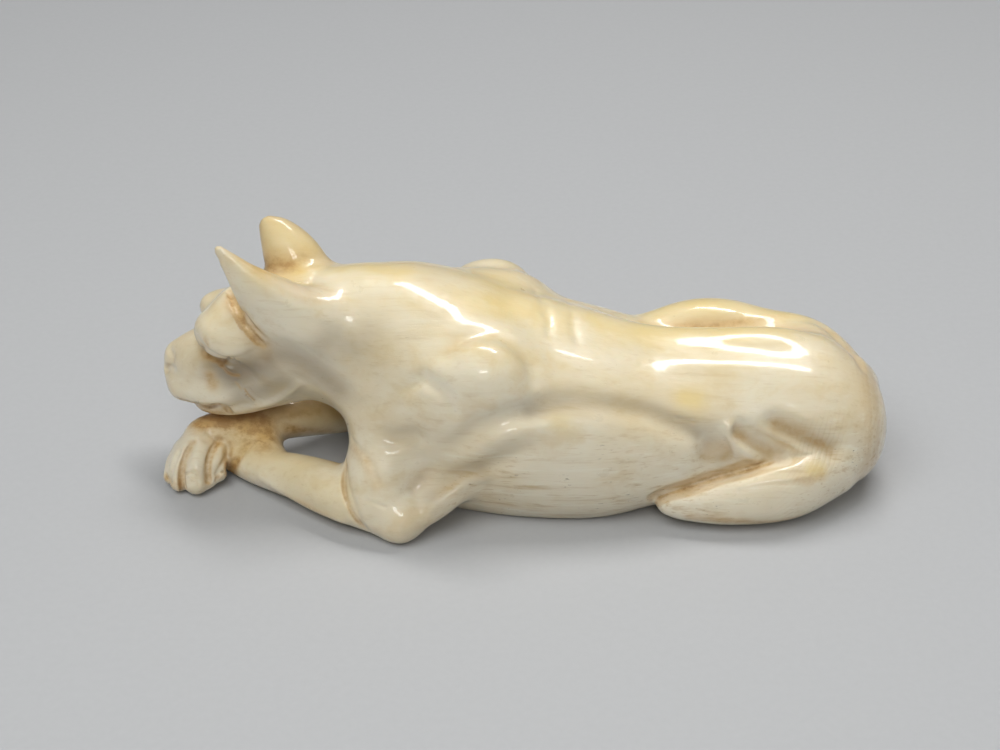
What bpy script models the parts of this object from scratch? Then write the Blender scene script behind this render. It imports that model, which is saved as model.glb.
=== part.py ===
# A dog carved from one piece of bone, lying down with its chin on its crossed forepaws.
# The carving is worked out as one smooth form: a body lofted through stations, limbs swept along curves, muscles and
# skull as rounded masses, all blended together, then grooves and swellings along named lines. The form is turned into
# one closed faceted solid whose underside is cut flat where it rests.
#
# Frame: X runs from the head (-X) to the rump (+X), Y from the dog's left side (-Y) to its right (+Y), Z up.
# The origin is at the centre of the outline, on the surface the dog lies on.
import math
import bpy
import bmesh
import numpy as np

NAME = "lying_dog"
MM = 0.001
GRID_MM = 0.62             # spacing of the lattice on which the form is measured
TRIANGLES = 9000           # facets of the finished solid, about
UNDERCUT_MM = 1.6          # how far the form goes on below the resting plane before that is cut away
BONE = (0.80, 0.72, 0.55, 1.0)

V = lambda *a: np.array(a, float)

def unit(v):
    v = np.asarray(v, float)
    return v / np.linalg.norm(v)

def smin(a, b, k):
    h = np.maximum(k - np.abs(a - b), 0.0) / k
    return np.minimum(a, b) - h * h * k * 0.25

def smax(a, b, k):
    return -smin(-a, -b, k)

def turn(yaw=0, pitch=0, roll=0):
    """columns are the local x, y, z axes; yaw about Z, pitch about Y, roll about X, in degrees"""
    y, p, r = (math.radians(t) for t in (yaw, pitch, roll))
    cz, sz, cy, sy, cx, sx = math.cos(y), math.sin(y), math.cos(p), math.sin(p), math.cos(r), math.sin(r)
    rz = np.array([[cz, -sz, 0], [sz, cz, 0], [0, 0, 1]])
    ry = np.array([[cy, 0, sy], [0, 1, 0], [-sy, 0, cy]])
    rx = np.array([[1, 0, 0], [0, cx, -sx], [0, sx, cx]])
    return rz @ ry @ rx

def ellipsoid(p, c, r, m=None):
    q = p - c
    if m is not None:
        q = q @ m
    k0 = np.sqrt(((q / r) ** 2).sum(-1))
    k1 = np.sqrt(((q / (r * r)) ** 2).sum(-1))
    return np.where(k1 > 1e-9, k0 * (k0 - 1.0) / np.maximum(k1, 1e-9), -np.min(r))

def spline(points, n):
    """n points along a Catmull-Rom curve through rows of points"""
    p = np.asarray(points, float)
    if len(p) == 2:
        t = np.linspace(0, 1, n)[:, None]
        return p[0] * (1 - t) + p[1] * t
    q = np.vstack([2 * p[0] - p[1], p, 2 * p[-1] - p[-2]])
    s = np.linspace(0, len(p) - 1, n)
    i = np.minimum(s.astype(int), len(p) - 2)
    t = (s - i)[:, None]
    a, b, c, d = q[i], q[i + 1], q[i + 2], q[i + 3]
    return 0.5 * (2 * b + (c - a) * t + (2 * a - 5 * b + 4 * c - d) * t**2 + (3 * b - a - 3 * c + d) * t**3)

def tube(p, path, m=None, squash=None):
    """path: rows of x, y, z, radius. The nearest stretch of the tube, with its radius changing evenly along it.
    With m and squash, distances are measured in the local axes m, divided by squash."""
    path = np.asarray(path, float)
    a, b = path[:-1], path[1:]
    if m is not None:
        s = np.asarray(squash, float)
        p = (p @ m) / s
        a = np.hstack([(a[:, :3] @ m) / s, a[:, 3:]])
        b = np.hstack([(b[:, :3] @ m) / s, b[:, 3:]])
    best = np.full(len(p), 1e9)
    for u, v in zip(a, b):
        d = v[:3] - u[:3]
        w = p - u[:3]
        t = np.clip((w @ d) / max(d @ d, 1e-12), 0, 1)
        g = np.sqrt(((w - t[:, None] * d) ** 2).sum(-1)) - (u[3] + (v[3] - u[3]) * t)
        best = np.minimum(best, g)
    return best if m is None else best * float(np.min(squash))

def line_distance(p, pts):
    best = np.full(len(p), 1e9)
    for u, v in zip(pts[:-1], pts[1:]):
        d = v - u
        w = p - u
        t = np.clip((w @ d) / max(d @ d, 1e-12), 0, 1)
        best = np.minimum(best, ((w - t[:, None] * d) ** 2).sum(-1))
    return np.sqrt(best)

REACH = 3.0

class Form:
    """A list of carving steps, each touching only the points near it."""
    def __init__(self):
        self.steps = []

    def _add(self, lo, hi, fn):
        self.steps.append((np.asarray(lo, float), np.asarray(hi, float), fn))

    def ball(self, c, r, m=None, k=2.0, cut=False):
        c, r = V(*c), V(*r)
        big = r.max() + k + REACH
        if m is None:
            ext = r + k + REACH
        else:
            ext = np.sqrt(((m * r) ** 2).sum(1)) + k + REACH
        def fn(p, d):
            e = ellipsoid(p, c, r, m)
            return smax(d, -e, k) if cut else smin(d, e, k)
        self._add(c - ext, c + ext, fn)

    def limb(self, pts, k=2.0, n=None, m=None, squash=None, cut=False):
        path = spline(pts, n or 9 * (len(pts) - 1) + 1) if len(pts) > 2 else np.asarray(pts, float)
        s = 1.0 if squash is None else float(max(squash))
        ext = path[:, 3].max() * s + k + REACH
        def fn(p, d):
            e = tube(p, path, m, squash)
            return smax(d, -e, k) if cut else smin(d, e, k)
        self._add(path[:, :3].min(0) - ext, path[:, :3].max(0) + ext, fn)

    def stroke(self, pts, width, depth, n=None):
        """A soft groove (depth > 0) or ridge (depth < 0) along a line on the surface. pts may have a 4th and 5th
        column scaling depth and width along it."""
        pts = np.asarray(pts, float)
        path = spline(pts, n or max(2, 5 * (len(pts) - 1) + 1)) if len(pts) > 2 else pts
        ext = width * 2.6 * (path[:, 4].max() if path.shape[1] > 4 else 1)
        def fn(p, d):
            best, dep, wid = np.full(len(p), 1e9), np.ones(len(p)), np.ones(len(p))
            for u, v in zip(path[:-1], path[1:]):
                g = v[:3] - u[:3]
                w = p - u[:3]
                t = np.clip((w @ g) / max(g @ g, 1e-12), 0, 1)
                q = ((w - t[:, None] * g) ** 2).sum(-1)
                near = q < best
                best = np.where(near, q, best)
                if path.shape[1] > 3:
                    dep = np.where(near, u[3] + (v[3] - u[3]) * t, dep)
                if path.shape[1] > 4:
                    wid = np.where(near, u[4] + (v[4] - u[4]) * t, wid)
            return d + depth * dep * np.exp(-best / (width * wid) ** 2)
        self._add(path[:, :3].min(0) - ext, path[:, :3].max(0) + ext, fn)

    def dent(self, c, r, depth, m=None):
        """A soft hollow (depth > 0) or swelling (depth < 0) round a point on the surface."""
        c, r = V(*c), V(*r)
        ext = 2.6 * (r if m is None else np.sqrt(((m * r) ** 2).sum(1)))
        def fn(p, d):
            q = p - c
            if m is not None:
                q = q @ m
            return d + depth * np.exp(-((q / r) ** 2).sum(-1))
        self._add(c - ext, c + ext, fn)

    def custom(self, lo, hi, fn):
        self._add(lo, hi, fn)

    def value(self, p):
        p = np.asarray(p, float)
        d = np.full(len(p), 12.0)
        for lo, hi, fn in self.steps:
            inside = np.flatnonzero(((p > lo) & (p < hi)).all(1))
            if len(inside):
                d[inside] = fn(p[inside], d[inside])
        return d

    def slope(self, p, h=0.05):
        g = np.empty_like(p)
        for i in range(3):
            e = np.zeros(3)
            e[i] = h
            g[:, i] = self.value(p + e) - self.value(p - e)
        return g / (2 * h)

def lattice(form, lo, hi, step, coarse=1.6):
    """Distances on a grid, worked out finely only near the surface."""
    lo, hi = np.asarray(lo, float), np.asarray(hi, float)
    n = np.ceil((hi - lo) / step).astype(int) + 1
    ratio = max(1, int(round(coarse / step)))
    nc = (n + ratio - 1) // ratio + 1
    axes = [lo[i] + step * ratio * np.arange(nc[i]) for i in range(3)]
    g = np.stack(np.meshgrid(*axes, indexing="ij"), -1).reshape(-1, 3)
    c = form.value(g).reshape(nc).astype(np.float32)
    near = np.abs(c) < step * ratio * 1.9 + 0.6
    # grow by one coarse cell, so that thin pieces aren't missed
    grown = near.copy()
    for ax in range(3):
        a = [slice(None)] * 3; b = [slice(None)] * 3
        a[ax] = slice(1, None); b[ax] = slice(None, -1)
        grown[tuple(a)] |= near[tuple(b)]
        grown[tuple(b)] |= near[tuple(a)]
        near = grown.copy()
    idx = [np.minimum((np.arange(n[i]) + ratio // 2) // ratio, nc[i] - 1) for i in range(3)]
    full = c[np.ix_(*idx)]
    mask = grown[np.ix_(*idx)]
    where = np.argwhere(mask)
    out = np.where(full > 0, 5.0, -5.0).astype(np.float32)
    pts = lo + step * where
    vals = np.empty(len(pts), np.float32)
    for s in range(0, len(pts), 400000):
        vals[s:s + 400000] = form.value(pts[s:s + 400000])
    out[tuple(where.T)] = vals
    return lo, fill_touching(out)

def unsure_cells():
    """For each of the 256 patterns of a cell's corners: whether the surface in it would touch itself."""
    corners = [(i, j, k) for i in (0, 1) for j in (0, 1) for k in (0, 1)]
    def joined(group):
        seen, todo = set(), group[:1]
        while todo:
            a = todo.pop()
            seen.add(a)
            todo += [b for b in group if b not in seen and sum(abs(m - n) for m, n in zip(a, b)) == 1]
        return len(seen) == len(group)
    out = np.zeros(256, bool)
    for code in range(256):
        inside = [c for n, c in enumerate(corners) if code >> n & 1]
        outside = [c for c in corners if c not in inside]
        bad = not joined(inside) or not joined(outside)
        for ax in range(3):
            for side in (0, 1):
                face = [c for c in corners if c[ax] == side]
                ins = [c for c in face if c in inside]
                bad |= len(ins) == 2 and sum(abs(m - n) for m, n in zip(*ins)) == 2
        out[code] = bad
    return corners, out

def fill_touching(d):
    """Fills lattice points where the surface would touch itself, starting with the one nearest to it."""
    corners, bad = unsure_cells()
    nx, ny, nz = d.shape
    for _ in range(60):
        code = np.zeros((nx - 1, ny - 1, nz - 1), np.uint8)
        for n, (i, j, k) in enumerate(corners):
            code |= (d[i:nx - 1 + i, j:ny - 1 + j, k:nz - 1 + k] < 0).astype(np.uint8) << n
        cells = np.argwhere(bad[code])
        if not len(cells):
            break
        at = np.array([cells + c for c in corners])
        vals = d[at[..., 0], at[..., 1], at[..., 2]]
        pick = np.where(vals >= 0, vals, 99.0).argmin(0)
        hit = at[pick, np.arange(len(cells))]
        d[tuple(hit.T)] = -1e-3
    return d

def nets(lo, step, d):
    """Surface nets: one point in each cell that the surface crosses, one quad across each grid edge that it crosses."""
    s = d < 0
    nx, ny, nz = d.shape
    c = np.zeros((nx - 1, ny - 1, nz - 1), np.int8)
    for i in (0, 1):
        for j in (0, 1):
            for k in (0, 1):
                c += s[i:nx - 1 + i, j:ny - 1 + j, k:nz - 1 + k]
    cells = np.argwhere((c > 0) & (c < 8))
    index = -np.ones(c.shape, np.int64)
    index[tuple(cells.T)] = np.arange(len(cells))
    total = np.zeros((len(cells), 3)); count = np.zeros(len(cells))
    corners = [(i, j, k) for i in (0, 1) for j in (0, 1) for k in (0, 1)]
    for a in corners:
        for ax in range(3):
            if a[ax]:
                continue
            b = list(a); b[ax] = 1
            va = d[tuple((cells + a).T)].astype(float); vb = d[tuple((cells + b).T)].astype(float)
            hit = (va < 0) != (vb < 0)
            t = np.where(hit, va / np.where(hit, va - vb, 1), 0)
            pt = np.array(a, float) + np.zeros((len(cells), 3))
            pt[:, ax] += t
            total += np.where(hit[:, None], pt, 0); count += hit
    verts = lo + step * (cells + total / count[:, None])
    quads = []
    for ax in range(3):
        a = [slice(None)] * 3; b = [slice(None)] * 3
        a[ax] = slice(0, -1); b[ax] = slice(1, None)
        sa, sb = s[tuple(a)], s[tuple(b)]
        e = np.argwhere(sa != sb)
        o1, o2 = [(1, 2), (2, 0), (0, 1)][ax]
        ok = (e[:, o1] > 0) & (e[:, o2] > 0) & (e[:, o1] < d.shape[o1] - 1) & (e[:, o2] < d.shape[o2] - 1)
        e = e[ok]
        u = np.zeros(3, int); v = np.zeros(3, int); u[o1] = 1; v[o2] = 1
        q = np.stack([index[tuple((e - u - v).T)], index[tuple((e - v).T)], index[tuple(e.T)], index[tuple((e - u).T)]], 1)
        flip = ~sa[tuple(e.T)]
        q[flip] = q[flip][:, ::-1]
        quads.append(q)
    return verts, np.vstack(quads)

def settle(form, verts, rounds=2, most=0.4):
    """Moves points onto the surface along its slope."""
    for _ in range(rounds):
        d = form.value(verts)
        g = form.slope(verts)
        n2 = np.maximum((g * g).sum(1), 0.05)
        move = -(d / n2)[:, None] * g
        size = np.linalg.norm(move, axis=1)
        move *= np.minimum(1, most / np.maximum(size, 1e-9))[:, None]
        verts = verts + move
    return verts

# -------------------- the dog's form, in millimetres --------------------
TRUNK = np.array([
        #  x    top   bottom near   far   zc    yc  lower half's squareness
        [-37.0, 29.6, 14.2,  -5.6,  6.4, 22.8, 0.3, 1.5],
        [-32.0, 31.0, 12.5,  -7.6,  7.6, 23.8, 0.0, 1.45],
        [-28.0, 31.9, 12.2,  -9.0,  9.0, 22.8, 0.0, 1.55],
        [-25.0, 32.4, 11.0, -10.0, 10.0, 20.8, 0.0, 1.8],
        [-22.5, 32.7,  6.5, -10.9, 10.9, 18.5, 0.0, 1.9],
        [-20.0, 32.8,  1.5, -11.8, 11.8, 16.4, 0.0, 2.0],
        [-14.0, 32.5, -2.0, -13.8, 13.8, 15.0, 0.0, 2.2],
        [ -6.0, 30.2, -4.0, -15.2, 15.0, 13.8, 0.0, 2.2],
        [  2.0, 27.2, -5.0, -15.7, 15.3, 12.3, 0.0, 2.2],
        [ 10.0, 24.8, -4.6, -15.6, 15.0, 11.2, 0.0, 2.2],
        [ 18.0, 22.4, -1.8, -14.6, 14.4, 10.4, 0.0, 2.2],
        [ 26.0, 21.8, -0.4, -13.0, 13.6, 10.2, 0.0, 2.2],
        [ 34.0, 21.6, -0.6, -11.5, 13.0, 10.2, 0.0, 2.2],
        [ 40.0, 20.0, -1.0, -10.6, 12.0, 10.0, 0.0, 2.2],
        [ 44.5, 16.6, -0.4,  -9.0, 10.2,  9.4, 0.0, 2.2],
        [ 48.0, 12.6,  1.6,  -6.2,  7.0,  8.2, 0.0, 2.2],
        [ 50.4,  9.4,  5.0,  -2.6,  3.0,  7.4, 0.0, 2.2]])

def smooth_table(S, rows):
    """Stations smoothed by a curve through them."""
    q = spline(S, rows)
    return q

def add_trunk(F):
    T = smooth_table(TRUNK, 80)
    order = np.argsort(T[:, 0]); T = T[order]
    lo_x, hi_x = T[0, 0], T[-1, 0]
    def f(x, y, z):
        top, bot, near, far, zc, yc, low = [np.interp(x, T[:, 0], T[:, i]) for i in range(1, 8)]
        w = np.where(y < yc, yc - near, far - yc)
        h = np.where(z > zc, top - zc, zc - bot)
        n = np.where(z > zc, 1.95, low)
        return ((np.abs(y - yc) / w) ** n + (np.abs(z - zc) / h) ** n + 1e-9) ** (1 / n)
    def dist(p):
        x = np.clip(p[:, 0], lo_x, hi_x); y, z = p[:, 1], p[:, 2]
        e = 0.05
        v = f(x, y, z)
        gx = (f(x + e, y, z) - f(x - e, y, z)) / (2 * e)
        gy = (f(x, y + e, z) - f(x, y - e, z)) / (2 * e)
        gz = (f(x, y, z + e) - f(x, y, z - e)) / (2 * e)
        g = np.sqrt(gx * gx + gy * gy + gz * gz)
        d = (v - 1) / np.maximum(g, 0.03)
        cap = np.maximum(lo_x - p[:, 0], p[:, 0] - hi_x)
        return smax(d, cap, 4.0)
    def fn(p, d):
        return np.minimum(d, dist(p))
    F.custom((-44, -24, -8), (58, 24, 42), fn)

def build():
    F = Form()
    add_trunk(F)
    # rump and haunches
    F.ball((39.8, 0.4, 10.6), (9.4, 10.4, 10.0), k=4)
    F.ball((27.0, 8.8, 12.9), (13.2, 6.4, 9.6), turn(0, 3, 0), k=2.6)        # far haunch
    F.ball((37.0, 6.0, 11.8), (9.0, 6.8, 9.4), k=3.0)
    F.ball((43.2, -2.4, 8.6), (6.6, 7.6, 7.4), k=3)
    F.limb([(0, 0.0, 25.0, 2.4), (8, 0.2, 22.8, 2.2), (16, 0.5, 21.0, 2.0), (25, 0.7, 20.6, 2.0), (34, 0.6, 20.8, 2.0), (40, 0.3, 19.0, 2.0)], k=3)
    # near thigh lying flat: from the hip down to the knee that points at the elbow
    F.limb([(40.8, -6.4, 7.0, 6.4), (35.5, -10.0, 5.4, 5.6), (28.5, -11.9, 4.4, 4.3), (22.5, -12.6, 4.0, 3.0), (20.2, -12.8, 4.1, 2.3)], k=0.8, n=60)
    # far hind leg: thigh, knee, shank, hock, foot and toes
    F.limb([(38, 7, 12, 7.0), (28, 11, 10, 5.6), (18.5, 13.0, 8.0, 3.8)], k=2.5)
    F.limb([(18.5, 12.8, 6.5, 3.4), (27, 14.0, 4.6, 2.9), (36, 14.6, 2.9, 2.2)], k=2.0)
    F.limb([(36, 14.6, 2.3, 2.2), (30, 15.6, 1.9, 1.9), (24.6, 15.9, 2.0, 2.1)], k=1.0)
    for dy in (-1.5, 0.0, 1.5):
        F.limb([(24.6, 15.9 + dy, 2.0, 1.3), (22.0, 15.8 + 1.15 * dy, 1.9, 1.15), (20.4, 15.7 + 1.15 * dy, 1.2, 0.9)], k=0.5)
    # tail, round the far side of the rump
    F.limb([(45.5, 0.6, 16.4, 2.0), (48.2, 3.2, 12.0, 1.9), (47.2, 8.0, 6.0, 1.7), (43.0, 12.4, 2.6, 1.5), (39.0, 14.4, 1.6, 1.2)], k=1.0)
    # near shoulder, upper arm and elbow
    F.ball((-6.5, -8.8, 19.0), (8.2, 6.4, 9.0), turn(0, 20, 0), k=3.5)
    F.limb([(-16.8, -6.0, 15.0, 5.8), (-18.0, -9.0, 10.0, 5.8), (-19.4, -12.0, 6.1, 5.1), (-17.4, -15.4, 3.0, 2.9)], k=2.5)
    F.limb([(-8.5, -12.5, 7.5, 2.6), (-12.5, -14.4, 5.0, 2.7), (-16.8, -16.2, 2.6, 2.2)], k=2.0)
    # far shoulder
    F.ball((-4.5, 8.8, 19.5), (8.2, 6.4, 9.0), turn(0, 20, 0), k=3.5)
    F.limb([(-16.8, 6.0, 15.0, 5.8), (-17.6, 9.0, 10.0, 5.7), (-18.4, 12.0, 5.8, 4.4), (-18.0, 14.0, 3.2, 3.0)], k=2.5)
    F.limb([(-6.5, 12.0, 7.5, 3.0), (-11.0, 13.4, 5.2, 3.2), (-17.0, 14.2, 3.0, 2.6)], k=2.0)
    # near (left) forearm to its paw, underneath
    F.limb([(-16.8, -15.6, 3.1, 2.9), (-21.7, -13.3, 4.0, 3.7), (-26, -10.8, 4.2, 3.7), (-31.5, -7.2, 3.8, 3.2), (-37.5, -3.6, 3.0, 2.5),
            (-41.5, 0.0, 2.6, 2.3)], k=1.5)
    F.ball((-43.0, 3.0, 2.4), (2.8, 3.4, 2.6), turn(-50, 0, 0), k=1.2)
    for side in (-2.4, -0.8, 0.8, 2.4):
        F.limb([(-43.4 + 0.75 * side, 4.2 + 0.6 * side, 2.7, 1.3), (-44.6 + 0.8 * side, 5.9 + 0.62 * side, 2.2, 1.2), (-45.2 + 0.8 * side, 6.9 + 0.62 * side, 1.3, 0.95)], k=0.5)
    # far (right) forearm crossing over
    F.limb([(-17.4, 13.6, 3.8, 3.3), (-24, 9.2, 4.5, 3.4), (-31, 4.8, 6.2, 3.2), (-37.5, 2.0, 6.7, 2.8),
            (-42.6, 1.3, 6.0, 2.6)], k=0.8)
    F.ball((-38.0, -0.8, 4.4), (4.4, 2.8, 3.0), turn(-28, 0, 0), k=2.4)       # where the two meet
    # its paw: back of the paw and four toes
    F.limb([(-42.6, 1.3, 5.9, 2.6), (-45.2, 0.5, 5.3, 2.8), (-46.2, -1.6, 4.1, 2.9)], k=1.0)
    for toe in (((-48.3, -1.4, 4.0, 1.5), (-49.2, -2.8, 3.0, 1.35), (-49.7, -4.2, 1.7, 1.1)), ((-47.4, -2.0, 4.4, 1.8), (-48.1, -4.0, 3.4, 1.6), (-48.3, -5.6, 1.7, 1.35)),
                ((-45.6, -2.6, 4.3, 1.9), (-45.9, -4.6, 3.3, 1.8), (-45.9, -6.0, 1.8, 1.6)), ((-43.6, -2.0, 4.2, 2.0), (-43.5, -3.2, 3.3, 1.8), (-43.2, -3.9, 2.3, 1.5))):
        F.limb(toe, k=0.8)
    F.ball((-46.1, -3.3, 3.5), (3.2, 2.5, 2.5), k=1.0)
    F.limb([(-44.7, -3.6, 3.2, 1.7), (-44.6, -5.0, 1.8, 1.4)], k=0.8)
    # head
    head(F)
    relief(F)
    # floor
    floor_cut(F, UNDERCUT_MM)
    return F

def head(F):
    H = turn(-18, 33, 0)      # local -x points down the muzzle
    F.ball((-35.6, 0.8, 23.3), (7.4, 6.2, 5.8), H, k=3)                       # skull
    F.limb([(-41.2, -1.6, 24.6, 1.9), (-41.6, 4.0, 24.4, 1.7)], k=2.0)        # forehead
    F.ball((-35.8, 0.6, 16.8), (6.2, 4.5, 5.6), k=2.4)                         # cheeks and jaw muscles
    F.limb([(-39.5, 0.9, 18.4, 4.6), (-43.6, 2.3, 16.9, 4.5), (-46.9, 3.5, 14.9, 3.7)], k=1.6,
           m=turn(-18, 20, 0), squash=(1, 0.94, 1.04))                        # muzzle
    F.limb([(-41.0, 1.4, 21.6, 2.4), (-45.0, 3.0, 19.4, 2.0), (-48.2, 4.1, 17.3, 1.7)], k=1.4)   # bridge of the nose
    F.ball((-39.2, -1.9, 23.3), (5.9, 4.4, 3.8), turn(-16, 16, -14), k=1.6)   # near brow and temple
    F.ball((-38.0, -1.0, 25.9), (4.3, 3.6, 3.2), turn(-16, 22, 0), k=1.6)      # rise from the brow to the ear
    F.ball((-37.8, 2.9, 23.3), (5.6, 4.2, 3.7), turn(-20, 16, 14), k=1.6)      # far temple
    F.ball((-41.8, 4.2, 24.5), (3.0, 2.6, 2.1), turn(0, 10, 0), k=1.1)         # far brow
    F.ball((-48.6, 4.2, 16.7), (1.6, 1.9, 1.5), k=0.7)                        # nose
    F.limb([(-38.5, -1.2, 15.4, 2.6), (-43, -0.4, 14.0, 2.5), (-47.6, 1.9, 13.2, 2.3)], k=1.0)   # near lip
    F.limb([(-38.5, 3.6, 15.4, 2.6), (-43, 4.9, 14.1, 2.5), (-47.0, 5.0, 13.6, 2.1)], k=1.0)     # far lip
    F.limb([(-33, -0.4, 14.8, 2.6), (-38, -0.6, 12.9, 2.3), (-41.5, -0.2, 11.7, 1.9), (-44.3, 1.0, 11.0, 1.6), (-45.6, 2.2, 11.0, 1.3)], k=0.4)      # lower jaw, near side
    F.limb([(-34, 1.4, 14.4, 2.6), (-40, 2.4, 11.9, 2.3), (-44.3, 4.0, 11.2, 1.6), (-45.6, 3.6, 11.1, 1.3)], k=0.4)      # and far side
    # ears
    F.limb([(-28.5, -4.2, 26.6, 5.0), (-32.4, -4.6, 29.4, 4.2), (-36.4, -5.0, 33.6, 2.6), (-38.5, -5.0, 36.5, 1.5), (-39.8, -4.9, 38.4, 0.7)], k=2.0,
           n=60, m=turn(-24, 0, 0), squash=(1.1, 0.7, 1.1))
    F.limb([(-29.2, 4.6, 26.6, 4.0), (-31.6, 6.3, 30.8, 3.6), (-33.4, 7.3, 33.7, 2.5), (-34.8, 7.7, 35.3, 1.4)], k=2.0,
           n=60, m=turn(20, 0, 0), squash=(1.1, 0.7, 1.1))


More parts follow.
